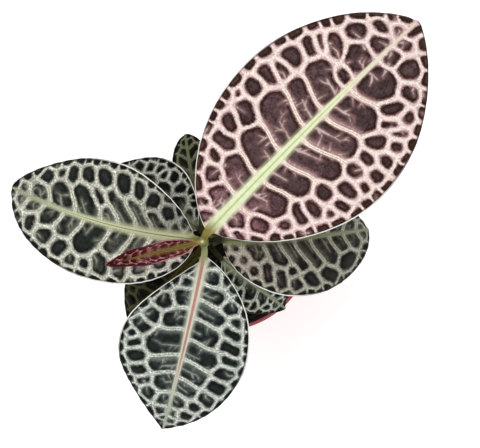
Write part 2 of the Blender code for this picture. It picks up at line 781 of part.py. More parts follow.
class Skin:
    """Pairs of points on the upper and the lower face, and the triangles between them."""

    def __init__(self, leaf):
        self.leaf = leaf
        self.blade = Blade(leaf)
        self.upper = []
        self.lower = []
        self.triangles = []
        chains = {side: self.add_half(side) for side in (1, -1)}
        self.add_midrib(chains)

    def add(self, upper, lower):
        self.upper.append(upper)
        self.lower.append(lower)
        return len(self.upper) - 1

    def add_blade_point(self, side, place, lift=0.0):
        s, t = place
        point = self.blade.point(side, s, t)
        normal = self.blade.normal(side, s, t)
        share = min(1.0, t / max(self.blade.half_width(side, s), 0.1))
        thick = BLADE_THICK + (MARGIN_THICK - BLADE_THICK) * share ** 4
        return self.add(point + normal * lift, point + normal * (lift - thick))

    def add_half(self, side):
        net = Net(self.blade, side)
        flat = net.points
        numbers = {}
        for _, loop in net.cells:
            for corner in loop:
                if corner not in numbers:
                    numbers[corner] = self.add_blade_point(side, flat[corner])
        for _, loop in net.cells:
            places = [flat[corner] for corner in loop]
            if area_of(places) < 0:
                places.reverse()
                loop = loop[::-1]
            ring = [numbers[corner] for corner in loop]
            band = CELL_BAND
            inner = None
            lift = CELL_RAISE
            while inner is None and band > 0.4 and area_of(places) > SMALL_CELL:
                inner = inset(places, band)
                band -= 0.2
            if inner is not None:
                lift += CELL_DOME
                raised = [self.add_blade_point(side, place, CELL_RAISE) for place in inner]
                for index in range(len(ring)):
                    after = (index + 1) % len(ring)
                    self.face(side, ring[index], ring[after], raised[after])
                    self.face(side, ring[index], raised[after], raised[index])
                ring, places = raised, inner
            middle = middle_of(places)
            if middle:
                peak = self.add_blade_point(side, middle, lift)
                for a, b in zip(ring, ring[1:] + ring[:1]):
                    self.face(side, a, b, peak)
            else:
                for a, b, c in ears(places):
                    self.face(side, ring[a], ring[b], ring[c])
        return [(flat[corner][0], numbers[corner]) for corner in net.rib_chain()]

    def face(self, side, a, b, c):
        """Flat triangles run anticlockwise on the left half, and mirrored on the right."""
        self.triangles.append((a, b, c) if side > 0 else (a, c, b))

    def add_midrib(self, chains):
        blade = self.blade
        leaf = self.leaf
        count = max(6, int(blade.length / RIB_STEP))
        middle = []
        for index in range(count + 1):
            s = blade.length * index / count
            point, _, _, up = blade.frame(s / blade.length)
            depth = BLADE_THICK + leaf.ridge * (1 - s / blade.length)
            middle.append((s, self.add(point + up * RIB_RISE, point - up * depth)))
        for side in (1, -1):
            if chains[side][0][0] > SHORTEST_EDGE:
                start = self.add_blade_point(side, (0.0, blade.rib_width(0.0)))
                chains[side].insert(0, (0.0, start))
            self.zip_chains(side, middle, chains[side])
        self.add_petiole(chains[1][0][1], middle[0][1], chains[-1][0][1])

    def zip_chains(self, side, middle, edge):
        """Triangles between the middle line of the rib and one edge of it."""
        i = j = 0
        while i < len(middle) - 1 or j < len(edge) - 1:
            next_middle = middle[i + 1][0] if i < len(middle) - 1 else math.inf
            next_edge = edge[j + 1][0] if j < len(edge) - 1 else math.inf
            if next_middle <= next_edge:
                self.face(side, middle[i][1], middle[i + 1][1], edge[j][1])
                i += 1
            else:
                self.face(side, middle[i][1], edge[j + 1][1], edge[j][1])
                j += 1

    def add_petiole(self, left, middle, right):
        """Sections from the blade's base to the stem, which they don't touch."""
        start = self.blade.base
        height = start[2] - self.leaf.fall
        axis = stem_axis(height)
        outward = unit(np.array([start[0] - axis[0], start[1] - axis[1], 0.0]))
        end = axis + outward * (stem_radius(height) + NODE_SWELL + PETIOLE_GAP)
        along = self.blade.frame(0.0)[1]
        span = np.linalg.norm(start - end)
        handle = start - along * span * PETIOLE_SWEEP
        across = self.blade.frame(0.0)[2]
        level = np.array([-outward[1], outward[0], 0.0])
        level = level if level @ across > 0 else -level
        steps = max(1, round(span / PETIOLE_STEP))
        last = (left, middle, right)
        for index in range(1, steps + 1):
            share = index / steps
            point = (1 - share) ** 2 * start + 2 * share * (1 - share) * handle + share ** 2 * end
            side = unit(across * (1 - share) + level * share)
            ahead = unit(2 * (1 - share) * (start - handle) + 2 * share * (handle - end))
            if index == steps:
                ahead = outward
            up = unit(np.cross(ahead, side))
            width = self.leaf.rib + (min(PETIOLE_WIDTH, self.leaf.rib) - self.leaf.rib) * share
            section = []
            for offset in (1, 0, -1):
                depth = 0.5 * PETIOLE_DEPTH * (PETIOLE_ROUND if offset else 1.0)
                place = point + side * offset * width
                section.append(self.add(place + up * depth, place - up * depth))
            for a, b, c, d in ((last[0], last[1], section[1], section[0]),
                               (last[1], last[2], section[2], section[1])):
                self.triangles.append((b, a, d))
                self.triangles.append((b, d, c))
            last = section

    def build(self, finish):
        count = len(self.upper)
        faces = list(self.triangles)
        faces += [(c + count, b + count, a + count) for a, b, c in self.triangles]
        edges = {pair for a, b, c in self.triangles for pair in ((a, b), (b, c), (c, a))}
        for a, b in sorted(edges):
            if (b, a) not in edges:
                faces.append((b, a, a + count))
                faces.append((b, a + count, b + count))
        return add_object(self.leaf.name, self.upper + self.lower, faces, finish)


def main():
    clear_scene()
    make_pot(material("pot_plastic", (0.55, 0.10, 0.14), 0.35))
    make_soil(material("soil", (0.02, 0.015, 0.012), 0.95))
    make_stem(material("stem", (0.16, 0.17, 0.05), 0.5))
    for leaf in LEAVES:
        Skin(leaf).build(material(leaf.name, leaf.color, 0.42))


main()
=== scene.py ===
"""Looks of a small potted labisia: netted leaves on a short stem, in a nursery pot.

Lengths are in millimetres in this script, and become metres when a mesh is made.
A leaf is drawn flat first: s runs along its midrib, t runs out from it on one side.
"""
import json
import math
import random
from dataclasses import dataclass, fields
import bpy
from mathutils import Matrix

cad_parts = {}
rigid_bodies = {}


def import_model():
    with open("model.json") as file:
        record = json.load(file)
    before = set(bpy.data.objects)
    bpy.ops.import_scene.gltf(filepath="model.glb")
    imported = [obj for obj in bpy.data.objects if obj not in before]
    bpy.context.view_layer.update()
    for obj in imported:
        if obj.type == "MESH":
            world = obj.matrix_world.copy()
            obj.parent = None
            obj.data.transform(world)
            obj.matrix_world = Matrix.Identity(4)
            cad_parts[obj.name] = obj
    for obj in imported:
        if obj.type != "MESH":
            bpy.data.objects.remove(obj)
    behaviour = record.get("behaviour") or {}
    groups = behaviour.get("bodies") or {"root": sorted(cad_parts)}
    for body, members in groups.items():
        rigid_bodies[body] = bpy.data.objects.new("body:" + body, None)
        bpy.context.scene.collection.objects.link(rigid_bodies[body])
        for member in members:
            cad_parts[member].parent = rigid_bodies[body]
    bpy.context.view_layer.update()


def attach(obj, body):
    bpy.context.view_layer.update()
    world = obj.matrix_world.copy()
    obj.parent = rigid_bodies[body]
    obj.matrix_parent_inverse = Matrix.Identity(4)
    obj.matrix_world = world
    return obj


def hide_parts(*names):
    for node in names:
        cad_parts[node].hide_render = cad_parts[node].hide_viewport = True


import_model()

from types import SimpleNamespace

import bmesh
import bpy
import numpy as np

MM = 0.001
detail = 1.0

# Camera, straight above the crown
CAMERA_PLACE = (8.4, 7.5, 720.0)
SENSOR = 36.0
PHOTO_WIDTH = 480
FOCAL_PIXELS = 1381.0

# Light and floor, in metres and watts
FLOOR_SIZE = 6.0
FLOOR_GLOW = 0.22
SKY_LIGHT = 0.86
LAMP_SIZE = 1.6
LAMPS = {"key": ((-1.1, 1.0, 2.6), 27.0), "fill": ((1.4, -1.0, 2.0), 9.0)}
LAMP_AIM = (0.0, 0.0, 0.1)

# Pot
POT_HEIGHT = 75.0
RIM_RADIUS = 42.5
RIM_WIDTH = 1.8
LIP_DEPTH = 1.9
LIP_OUT = 0.9
COLLAR_HEIGHT = 9.0
COLLAR_TAPER = 0.4
COLLAR_STEP = 1.6
COLLAR_SLOPE = 0.9
BASE_RADIUS = 29.0
FOOT_ROUND = 1.0
WALL = 1.2
FLOOR = 1.4
POT_SIDES = 180
POT_CORNER_STEPS = 5
DRAIN_HOLES = 6
DRAIN_HOLE_RADIUS = 3.0
DRAIN_HOLE_CIRCLE = 19.0
FOOT_SLOTS = 6
FOOT_SLOT_WIDTH = 5.0
FOOT_SLOT_HEIGHT = 3.0
CUTTER_LENGTH = 7.0
CUTTER_SIDES = 40
DRAIN_TURN = math.radians(5)
FOOT_RING = (3.2, 3.8, 0.45)  # outer and inner corner in from the base's edge, and height
POT_OUTLINE = ((0, 66, 66.5), (BASE_RADIUS, 39.6, 41.6))  # rough heights and radii of the wall
SHARP_TURN = math.radians(40)
SCUFFED_LIP = (71.0, 74.0)  # heights between which a change is spread, also below
# Inside the pot, painted shade darkens the wall from the first height to the second and all below
# it
SHADED_INSIDE = (75.4, 74.3)
DUSTY_FOOT = (5.0, 0.0)
DUSTY_COLLAR = (66.5, 64.0)
FOOT_DUST = 0.35  # over that inside
COLLAR_DUST = 0.2

# Soil
SOIL_LEVEL = 63.5
SOIL_EDGE_DROP = 1.2
SOIL_BUMP = 0.66
SOIL_BUMP_SPACING = 20.0
SOIL_MOUND = 2.0
SOIL_MOUND_REACH = 12.0
SOIL_GRAIN = 0.7
SOIL_LUMPS = ((0.6, 2.6), (0.35, 1.1), (0.2, 0.5))  # share and size of clods, crumbs, grains
SOIL_EDGE = (0.88, 1.0)  # shares of the radius between which the soil falls to its edge
SOIL_TINT_SIZE = 3.0
SOIL_RINGS = 100
SOIL_MIDDLE = 0.4  # radius of the last ring
SOIL_SIDES = 300
SOIL_FOOT = (28.0, 0.1)  # radius, and gap to the pot's floor
SOIL_SHOULDER = (0.6, 4.0)  # in from the wall, and below the soil's level
SOIL_GAP = 0.02
CRUMBS = 1300
CHIPS = 70
CRUMB_ROUGHNESS = (0.28, 0.9)  # height and size, over the crumb's radius
CRUMB_SHIFT = 7.1  # from one crumb's roughness to that of the next
FINE_CRUMB = 4  # one in so many is finer
CRUMB_SPREAD = (0.004, 1.0)  # shares of the soil's area from the middle out
CRUMB_SIZE = (0.35, 1.0)  # least and most, also below
CRUMB_STRETCH = (0.7, 1.2)
CHIP_STRETCH = ((1.2, 2.6), (0.7, 1.2), (0.3, 0.5))
CRUMB_TILT = 0.4
CRUMB_LIFT = 0.25
CRUMB_EDGE = 2.8
CRUMB_TINT = (0, 0.4)
CHIP_TINT = (0.55, 1.0)

# Stem
FOOT = np.array([-3.0, 0.0, 50.0])
CROWN = np.array([-8.2, -0.2, 116.0])
STEM_BEND = 1.4
STEM_FOOT_RADIUS = 3.3
STEM_TOP_RADIUS = 1.6
NODE_SWELL = 0.35
BUD_LENGTH = 2.2
STEM_SIDES = 48
STEM_STEP = 0.35
STEM_SUNK = 6.0  # below the soil's level
SCARS = ((69.0, 0.6), (74.5, 2.9), (80.0, 5.1), (85.5, 1.2), (90.5, 3.7))  # heights, turns
SCAR_SAG = 0.9
SCAR_HEIGHT = 0.7
SCAR_REACH = (1.5, 0.7)  # radians from its middle between which a scar fades
SCAR_RISE = 0.4
STEM_RIBS = 7
STEM_RIB_RISE = 0.05
STEM_RIB_TWIST = 0.05  # radians in a millimetre
STEM_GRAIN = (0.09, 1.6)  # height and size
BUD_RINGS = 14
BUD_FOLD = 0.12
BUD_TWIST = 2.2
BUD_PALE = (0.35, 0.8)  # shares of its length

# Blades
BLADE_THICK = 0.5
MARGIN_THICK = 0.28
WAVE_SHIFT = 1.5
RIB_RISE = 0.25
RIB_TIP_WIDTH = 0.45
RIB_COLUMNS = 6
TIP_START = 0.975  # share of the length from which the midrib narrows to nothing
TIP_END = 0.02  # least square of its narrowing
LEAST_BLADE = 0.12  # width beside the midrib
STEP = 0.34  # between the mesh's rows
LONG_STEP = 0.42  # on a long leaf
LONG_LEAF = 100.0
MIDRIB_STEPS = 40
UNDULATION = (0.12, 7.0, 3.0)  # height, size, and way out from the midrib to its full
PETIOLE_WIDTH = 1.35
PETIOLE_DEPTH = 2.4
PETIOLE_SWEEP = 0.45
PETIOLE_SIDES = 32
PETIOLE_STEP = 0.35
PETIOLE_OVERLAP = 3.5
PETIOLE_GROOVE = (0.3, 0.35)  # depth, and half-width as a share of the stalk's
STALK_SINK = 0.5  # depth of the stalk's end in the stem
STALK_NARROW = 0.45  # inside the midrib
STALK_FLARE = 0.25  # at the stem
FLARE_START = 0.75  # shares of the stalk's length, as the next
STALK_ROUND = 0.45  # where the blade's form has passed into the stalk's own
STALK_TOP = 0.75  # height above its middle, over the depth below it
STALK_SINKS = (0.5, 0.9)  # how far its top and its bottom draw in inside the midrib
KEEL = (1.15, 0.3)  # width over the midrib's, and least depth
GROOVE = (0.1, 0.2)  # depth along the midrib, and share of its width
TWIG_GROOVE = (0.12, 0.4, 0.8)  # depth, half-width, and how far it stays from a vein
UNDER_RELIEF = 0.8  # of the cells from below, over that from above

# The net on the blades
CELL_RAISE = 0.45
CELL_DOME = 0.3
CELL_FOOT = (0.6, 2.0)  # millimetres from a vein between which a cell rises
CELL_TOP = (1.4, 3.8)  # the same, for its dome
MARGIN_RELIEF = 0.35  # share of the relief that is left at the margin
MARGIN_REACH = 1.5
FIRST_CELL_REACH = 0.56
REACH_FADE = 0.34  # how much less far the first cells reach near the tip
BAR_REACH = (0.90, 1.10)  # least and most, as shares of the reach
BAR_INSET = 0.55
BAR_POINTS = 5
DISC_RADIUS = (0.24, 0.44)  # least and most, as shares of the row's spacing
DISC_STRETCH = (0.08, 0.34)
CELL_CLEAR = 0.24
CELL_JITTER = 0.2
RELAX_STEPS = 6
RELAX_GRAIN = 0.8
SMALLEST_CELL = 0.27  # radius of a circle of the same area, over the hem's spacing
ROW_JITTER = 0.25
HEM_RADIUS = (0.7, 1.15)
HEM_LENGTH = (0.75, 1.35)
HEM_START = 0.07  # along the blade, where the row along the margin begins
HEM_JITTER = 0.42
LEAST_GAP = 0.36
SPARE_CELLS = 6
VEIN_LEAN = 0.7
VEIN_CURVE = 0.6
SHARPNESS = 10.0  # of the cells' corners, times the spacing of the margin's cells
FAR = 6.0  # millimetres, past which a gap is not told apart
HAZE_REACH = 3.0
LEE_REACH = 1.5
OVAL_SLACK = 1.0  # room given to a cell beyond its oval
MARGIN_VEIN = 0.62  # the veins round the margin's cells, against the others
SPLIT_SHARE = 0.22
SPLIT_LENGTH = 2.6  # least length of a bar that splits, over its radius
SPLIT_PLACE = (0.45, 0.6)
DISC_LEAN = (-0.3, 0.9)
ROW_STEPS = 200  # of the walk along a row
LEAST_TURN = 0.35  # between the ways from a place to two cells
VEIN_REACH = 50.0  # past which another cell adds nothing to a vein
DEEPEST = -1.5  # inside a vein
WIDEST_VEIN = 0.35  # share of a cell's size
RIB_ROOM = 0.35  # room between the midrib and the cells
NOWHERE = 1e3  # millimetres, more than any distance on a leaf
# A line that no leaf reaches: start, end and half-widths
OFF_LEAF = (np.array([-99.0, -99.0]), np.array([-98.0, -99.0]), 0.1, 0.1)
HAZE_CHANGE = (0.3, 1.3)

# Free-ending veinlets: a radius is the cell's, and what is not a share is in millimetres
SMALLEST_TREE = 1.6  # radius of a bar from which it has a branched veinlet
FULL_TREE = 3.5  # radius from which the veinlet has its full width
TREE_FOOT = 0.6  # radii from the bar's end down to its start
TREE_LENGTH = (0.45, 0.85)  # shares of the bar's length
TREE_ASIDE = 0.25  # most that it starts beside the bar's middle, in radii
TREE_STRAY = 0.4  # most that it strays from it
TREE_SWERVE = 0.35  # at each step
TREE_TAPER = 0.75
TWIG_STEP = 2.2
TWIG_WIDTH = 0.5
TWIG_SHARE = 0.6  # of the steps
TWIG_LEAN = (0.3, 1.2)
TWIG_LENGTH = (0.35, 0.75)  # radii
SIDE_TWIGS = (1, 2, 2, 3)  # numbers to choose from, for those that enter from the sides
SIDE_TWIG_START = 1.15  # radii out from the bar's middle
SIDE_TWIG_LEAN = (-0.3, 0.7)
SIDE_TWIG_LENGTH = (0.6, 1.1)
BRANCH_SWERVE = 0.4
FORK_SHARE = 0.35
FORK = (2.5, 0.4, 0.5)  # its swerve, length and width, over the branch's
SPUR_SHARE = 0.25  # of the discs
SPUR_START = 1.5  # radii from the disc's middle
SPUR_ELBOW = (0.4, 0.7)
SPUR_SWERVE = 0.5
NARROWER = (0.8, 0.6)  # a stem's and a branch's end, over its start
POINTED = -0.1  # half-width at a free end

# Maps on a leaf's mesh that its finish reads, with the value of each on the stalk
LEAF_MAPS = {"vein_gap": FAR, "core_gap": FAR, "cell_size": FAR, "twig_gap": FAR,
             "side_gap": FAR, "edge_gap": FAR, "rib_gap": -3.0, "rib_share": None,
             "along": None, "haze": 0.0, "reach": 2.0, "tint": 0.5, "base_glow": 0.0}


def tone(code):
    """Linear, opaque colour of a web colour code."""
    levels = [int(code[at:at + 2], 16) / 255 for at in (1, 3, 5)]
    return (*(c / 12.92 if c < 0.04045 else ((c + 0.055) / 1.055) ** 2.4 for c in levels), 1.0)


@dataclass
class Palette:
    """Colours of one leaf's upper face, and of what shows from below."""
    patch: str  # the cells
    patch_rim: str  # their rims, with painted shade where the cells fall to the veins, and smudges on them
    vein_edge: str
    vein: str
    vein_core: str
    vein_base: str  # veins near the leaf's base
    side_core: str  # the middle of the side veins
    side_line: str  # a thin line along it
    rib: str
    rib_core: str
    rib_tip: str
    base: str  # cells near the leaf's base
    margin: str = "#efeee6"
    under: str = "#6d5a54"
    under_vein: str = "#a39a80"
    petiole: str = "#77793f"
    lee: str = "#080a08"  # soft shadow along the base's side of a side vein
    hem: str = "#11150f"  # patches at the margin
    vein_width: float = 1.0
    base_reach: float = 0.25  # how far up the blade the base's colours reach
    base_share: float = 0.5  # how strong they are
    stripe: float = 0.25  # half-width of the midrib's core, as a share of its own
    rib_spread: float = 0.0  # millimetres that the midrib's colour spreads over the blade
    twig_share: float = 0.5  # how strong the veinlets are
    seam: float = 0.4  # how strong the thin line in the veins is
    side_width: float = 1.0  # of the side veins, over that of the others
    haze: float = 0.85  # paleness of the cells beside the midrib, on their lower side
    crest: float = 0.45  # where a vein has its full colour, as a share of its width
    grain: float = 1.15  # how strongly the veins are speckled
    gloss: float = 0.1


PALETTES = {
    "maroon": Palette(
        patch="#4d393b", patch_rim="#2a120c", vein_edge="#957170", vein="#d2b5b0",
        vein_core="#fceee7", vein_base="#cc99a1", side_core="#faefdd", side_line="#b8937c",
        rib="#e6edc4", rib_core="#c0cf98", rib_tip="#e4d8c6", base="#92606a", margin="#f4efe9",
        under="#7d4f58", petiole="#857a3a", lee="#6e5f50", hem="#452d1b", vein_width=1.25,
        base_reach=0.3, base_share=0.6, rib_spread=0.35, twig_share=0.7, seam=0.0, side_width=0.8,
        crest=0.34, grain=0.7),
    "silver": Palette(
        patch="#222823", patch_rim="#060805", vein_edge="#65685b", vein="#959789",
        vein_core="#e6e5d8", vein_base="#d2cac0", side_core="#e0e0cc", side_line="#66674c",
        rib="#c4c89e", rib_core="#76784c", rib_tip="#9da07e", base="#a39a90", under="#65605a",
        vein_width=1.2, base_reach=0.5, base_share=0.65, stripe=0.14, rib_spread=-0.1,
        seam=0.5, haze=0.6, grain=1.5),
    "slate": Palette(
        patch="#1c2421", patch_rim="#050807", vein_edge="#5b645d", vein="#8b9289",
        vein_core="#e5e9df", vein_base="#c2c8bb", side_core="#e0e3d7", side_line="#6b6c60",
        rib="#d1d2be", rib_core="#b98479", rib_tip="#adb19a", base="#8a918c", under="#5f5e5e",
        petiole="#949a68", vein_width=1.15, base_reach=0.15, base_share=0.3, stripe=0.52,
        rib_spread=0.4, twig_share=0.6, seam=0.5, grain=1.4),
    # The palettes from green to brown belong to the lower leaves: their dark petiole colours are
    # painted shade.
    "green": Palette(
        patch="#20211f", patch_rim="#060504", vein_edge="#48453c", vein="#727164",
        vein_core="#bcbcae", vein_base="#a38c83", side_core="#b4b4a0", side_line="#5a5d47",
        rib="#7d8660", rib_core="#646c4a", rib_tip="#8f9578", base="#3d2c2a", petiole="#2a2b16",
        vein_width=1.05, base_reach=0.55, base_share=0.75),
    # This leaf lies low: its cells' dark colours are partly its own and partly painted shade.
    "sage": Palette(
        patch="#0c100e", patch_rim="#030403", vein_edge="#333a33", vein="#646b5f",
        vein_core="#d9dfd1", vein_base="#646b5f", side_core="#aeb6a3", side_line="#525b4b",
        rib="#9aa184", rib_core="#5f6749", rib_tip="#8a9276", base="#20241f", petiole="#2e301b",
        hem="#0a0d09", vein_width=0.9, base_share=0.4, gloss=0.05),
    "dark": Palette(
        patch="#13110f", patch_rim="#030201", vein_edge="#3d4037", vein="#6d7165",
        vein_core="#cbccc2", vein_base="#6d7165", side_core="#a8ab9e", side_line="#565a4d",
        rib="#7f866b", rib_core="#5d644b", rib_tip="#838a73", base="#2b2624", petiole="#33341e",
        hem="#0b0d09", vein_width=0.95, base_share=0.3, gloss=0.05),
    "olive": Palette(
        patch="#090a04", patch_rim="#020200", vein_edge="#242817", vein="#474c39",
        vein_core="#85896f", vein_base="#474c39", side_core="#6e735c", side_line="#3b402c",
        rib="#6f755a", rib_core="#4e5439", rib_tip="#686e53", base="#181910", margin="#5b5f50",
        petiole="#36391f", vein_width=0.75, base_share=0.4, gloss=0.05),
    "brown": Palette(
        patch="#070702", patch_rim="#010100", vein_edge="#1d1e0d", vein="#34351f",
        vein_core="#5a5b41", vein_base="#34351f", side_core="#56553c", side_line="#353422",
        rib="#5b562f", rib_core="#3d3c1b", rib_tip="#4d4d33", base="#19160d", margin="#50503c",
        petiole="#4d4920", vein_width=0.9, rib_spread=0.3, gloss=0.04),
    "burgundy": Palette(
        patch="#641c26", patch_rim="#461018", vein_edge="#7e3a41", vein="#c4868a",
        vein_core="#f0c6c2", vein_base="#c4868a", side_core="#d79e98", side_line="#a35a59",
        rib="#9a8844", rib_core="#6f5c2c", rib_tip="#3a1411", base="#6e4a30", margin="#c88d8a",
        under="#6b3038", under_vein="#a0645c", petiole="#9a904c", lee="#3a0d10", hem="#5a1c24",
        vein_width=0.03, base_reach=0.12, base_share=0.4, rib_spread=0.3),
}


@dataclass
class Leaf:
    """One leaf. Left and right are as seen from its base towards its tip."""
    name: str
    base: tuple  # where the blade starts
    tip: tuple
    left: tuple  # half-width, roundness of the base, roundness of the tip
    right: tuple
    left_roots: tuple  # where the side veins leave the midrib, as fractions
    right_roots: tuple
    palette: str
    slot: str
    arch: float = 8.0  # lift of the midrib's middle above a straight line
    bend: float = 0.0  # sideways bow of the midrib, to the left
    fold: float = 8.0  # degrees that each half rises from the midrib
    droop: float = 0.2  # fall of the margin, as a share of the half-width
    wave: float = 0.8  # height of the margin's waves
    waves: float = 2.5
    rib: float = 1.5  # half-width of the midrib at the base
    ridge: float = 1.3  # depth of the midrib below the blade, at the base
    sweep: tuple = (0.3, 0.3)  # how far side veins lean towards the tip, on each half
    rows: tuple = ((0.30, 7.5), (0.80, 6.0))  # outer rows: place and cell size
    hem: tuple = (5.6, 2.4, 0.6)  # spacing, radius and inset of the cells along the margin
    fall: float = 1.5  # drop of the petiole from the blade to the stem
    base_glow: tuple = (1.0, 1.0)  # how much of the base's own colour is on each half; below zero, painted shade over that half's base instead
    seed: int = 1


LEAVES = [
    Leaf("leaf_crown", (-5.4, 4.4, 117.0), (84.7, 94.6, 128.0),
         left=(37.7, 0.66, 0.74), right=(42.0, 0.74, 0.76),
         left_roots=(0.145, 0.241, 0.352, 0.469, 0.548, 0.653, 0.838),
         right_roots=(0.132, 0.243, 0.335, 0.431, 0.536, 0.649, 0.815),
         palette="maroon", slot="leaf_maroon", arch=11.5, bend=0.7, fold=9.0, droop=0.22,
         wave=1.0, rib=2.1, ridge=1.6, rows=((0.25, 8.6), (0.62, 7.7)),
         hem=(7.2, 2.4, 2.2), fall=2.5, seed=4),
    Leaf("leaf_left", (-11.3, 0.9, 115.0), (-93.3, 24.0, 104.0),
         left=(24.8, 0.51, 0.59), right=(26.4, 0.69, 0.67),
         left_roots=(0.12, 0.21, 0.30, 0.41, 0.56, 0.67, 0.785, 0.87),
         right_roots=(0.11, 0.20, 0.28, 0.38, 0.46, 0.60, 0.75, 0.865),
         palette="silver", slot="leaf_silver", arch=11.0, bend=4.0, droop=0.25,
         wave=0.9, sweep=(0.42, 0.75), rows=((0.40, 8.2),), hem=(5.8, 2.4, 0.7),
         # The right half's base is darkened with painted shade.
         base_glow=(1.0, -0.9), seed=7),
    Leaf("leaf_front", (-7.4, -6.9, 114.5), (-26.2, -84.5, 100.0),
         left=(27.6, 0.71, 0.72), right=(28.0, 1.25, 1.10),
         left_roots=(0.135, 0.224, 0.327, 0.447, 0.561, 0.670, 0.753, 0.87),
         right_roots=(0.158, 0.285, 0.396, 0.545, 0.646, 0.758, 0.869),
         palette="slate", slot="leaf_silver", arch=11.0, bend=0.9, fold=9.0, droop=0.22,
         sweep=(0.25, 0.25), rows=((0.42, 7.4),), fall=3.0, seed=11),
    Leaf("leaf_right", (0.4, 0.4, 110.0), (66.8, 5.2, 92.0),
         left=(24.5, 0.70, 0.72), right=(25.5, 0.55, 0.48),
         left_roots=(0.12, 0.24, 0.35, 0.47, 0.58, 0.69, 0.80, 0.89),
         right_roots=(0.11, 0.25, 0.36, 0.46, 0.565, 0.70, 0.80, 0.90),
         palette="green", slot="leaf_green", arch=10.0, bend=-1.3, fold=7.0, droop=0.25,
         sweep=(0.55, 0.55), rows=((0.42, 7.4),), hem=(5.6, 2.3, 0.8), fall=3.5, seed=16),
    Leaf("leaf_back_left", (-10.2, 5.7, 109.0), (-51.1, 31.9, 96.0),
         left=(17.0, 0.80, 0.80), right=(18.4, 0.85, 0.85),
         left_roots=(0.16, 0.32, 0.48, 0.64, 0.80),
         right_roots=(0.18, 0.33, 0.50, 0.66, 0.82),
         palette="dark", slot="leaf_green", arch=6.0, fold=7.0, droop=0.22, wave=0.6,
         rib=1.2, rows=((0.40, 6.2),), hem=(4.8, 2.1, 0.6), fall=3.0, seed=21),
    Leaf("leaf_low_right", (0.4, -8.1, 103.5), (29.3, -31.3, 85.0),
         left=(11.5, 0.85, 0.80), right=(13.0, 0.90, 0.85),
         left_roots=(0.20, 0.38, 0.56, 0.76),
         right_roots=(0.18, 0.36, 0.55, 0.74),
         palette="sage", slot="leaf_green", arch=6.0, fold=7.0, wave=0.5,
         rib=1.1, sweep=(0.6, 0.6), rows=((0.40, 5.5),), hem=(4.2, 1.7, 0.5), fall=4.0, seed=24),
    Leaf("leaf_low_left", (-11.0, -6.0, 103.5), (-41.5, -38.5, 87.0),
         left=(15.0, 0.85, 0.80), right=(17.0, 0.85, 0.78),
         left_roots=(0.18, 0.36, 0.55, 0.75),
         right_roots=(0.20, 0.38, 0.56, 0.74),
         palette="brown", slot="leaf_olive", arch=6.0, fold=7.0, wave=0.6,
         rib=1.4, rows=((0.42, 6.5),), hem=(4.8, 1.9, 0.5), fall=3.0, seed=28),
    Leaf("leaf_back", (-9.5, 5.7, 99.5), (-16.7, 48.6, 88.0),
         left=(8.0, 0.90, 0.62), right=(11.0, 0.90, 0.62),
         left_roots=(0.16, 0.29, 0.42, 0.55, 0.68, 0.81),
         right_roots=(0.14, 0.27, 0.40, 0.53, 0.66, 0.79),
         palette="olive", slot="leaf_olive", arch=5.0, fold=7.0, wave=0.5,
         rib=1.0, sweep=(1.3, 1.3), rows=((0.42, 5.0),), hem=(4.0, 1.5, 0.5), fall=3.0,
         seed=33),
    Leaf("leaf_young", (-10.6, -0.8, 118.0), (-47.8, -9.6, 143.0),
         left=(7.2, 0.75, 0.75), right=(7.2, 0.75, 0.75),
         left_roots=(0.14, 0.24, 0.34, 0.44, 0.54, 0.64, 0.74, 0.84),
         right_roots=(0.12, 0.22, 0.32, 0.42, 0.52, 0.62, 0.72, 0.83),
         palette="burgundy", slot="leaf_burgundy", arch=2.0, fold=48.0, droop=-0.12,
         wave=0.3, rib=0.9, ridge=0.7, sweep=(0.2, 0.2), rows=(), hem=(4.0, 1.7, 0.7),
         fall=1.2, seed=38),
]


# Numbers and meshes

def unit(vectors):
    """Vectors of length one, along the last axis."""
    vectors = np.asarray(vectors, float)
    return vectors / np.maximum(np.linalg.norm(vectors, axis=-1, keepdims=True), 1e-9)


def ease(value, low, high):
    """Smooth step from 0 at low to 1 at high."""
    share = np.clip((np.asarray(value, float) - low) / (high - low), 0.0, 1.0)
    return share * share * (3 - 2 * share)


def lumps(points, size, seed):
    """Soft random lumps of about a size, from -1 to 1, at points in space."""
    grid = np.asarray(points, float) / size
    cell = np.floor(grid).astype(np.int64)
    share = grid - cell
    share = share * share * (3 - 2 * share)
    total = 0.0
    for corner in np.ndindex(2, 2, 2):
        place = cell + np.array(corner)
        mixed = place[..., 0] * 73856093 ^ place[..., 1] * 19349663 ^ place[..., 2] * 83492791
        mixed = (mixed ^ seed * 2654435761) & 0x7fffffff
        mixed = (mixed * 1103515245 + 12345) & 0x7fffffff
        value = (mixed >> 8) / float(0x7fffff) * 2 - 1
        weight = np.prod(np.where(np.array(corner) == 1, share, 1 - share), axis=-1)
        total = total + value * weight
    return total


def segment_gap(places, starts, ends, first_radius, last_radius):
    """Distance from flat places to the nearest of many tapered lines."""
    best = np.full(len(places), FAR)
    for a, b, r, q in zip(starts, ends, first_radius, last_radius):
        line = b - a
        share = np.clip((places - a) @ line / max(line @ line, 1e-9), 0.0, 1.0)
        away = np.linalg.norm(places - (a + share[:, None] * line), axis=1)
        best = np.minimum(best, away - (r + (q - r) * share))
    return best


def circle(count):
    """Evenly spaced angles all round."""
    return np.arange(count) * math.tau / count


def spokes(turn):
    """Level directions at angles."""
    return np.stack([np.cos(turn), np.sin(turn), np.zeros_like(turn)], axis=-1)


def join_rings(rings):
    """Quads between rings of equal length, with flat ends."""
    count = len(rings[0])
    faces = []
    for row in range(len(rings) - 1):
        for index in range(count):
            a = row * count + index
            b = row * count + (index + 1) % count
            faces.append((a, b, b + count, a + count))
    last = (len(rings) - 1) * count
    faces.append(tuple(reversed(range(count))))
    faces.append(tuple(range(last, last + count)))
    return np.concatenate(rings), faces


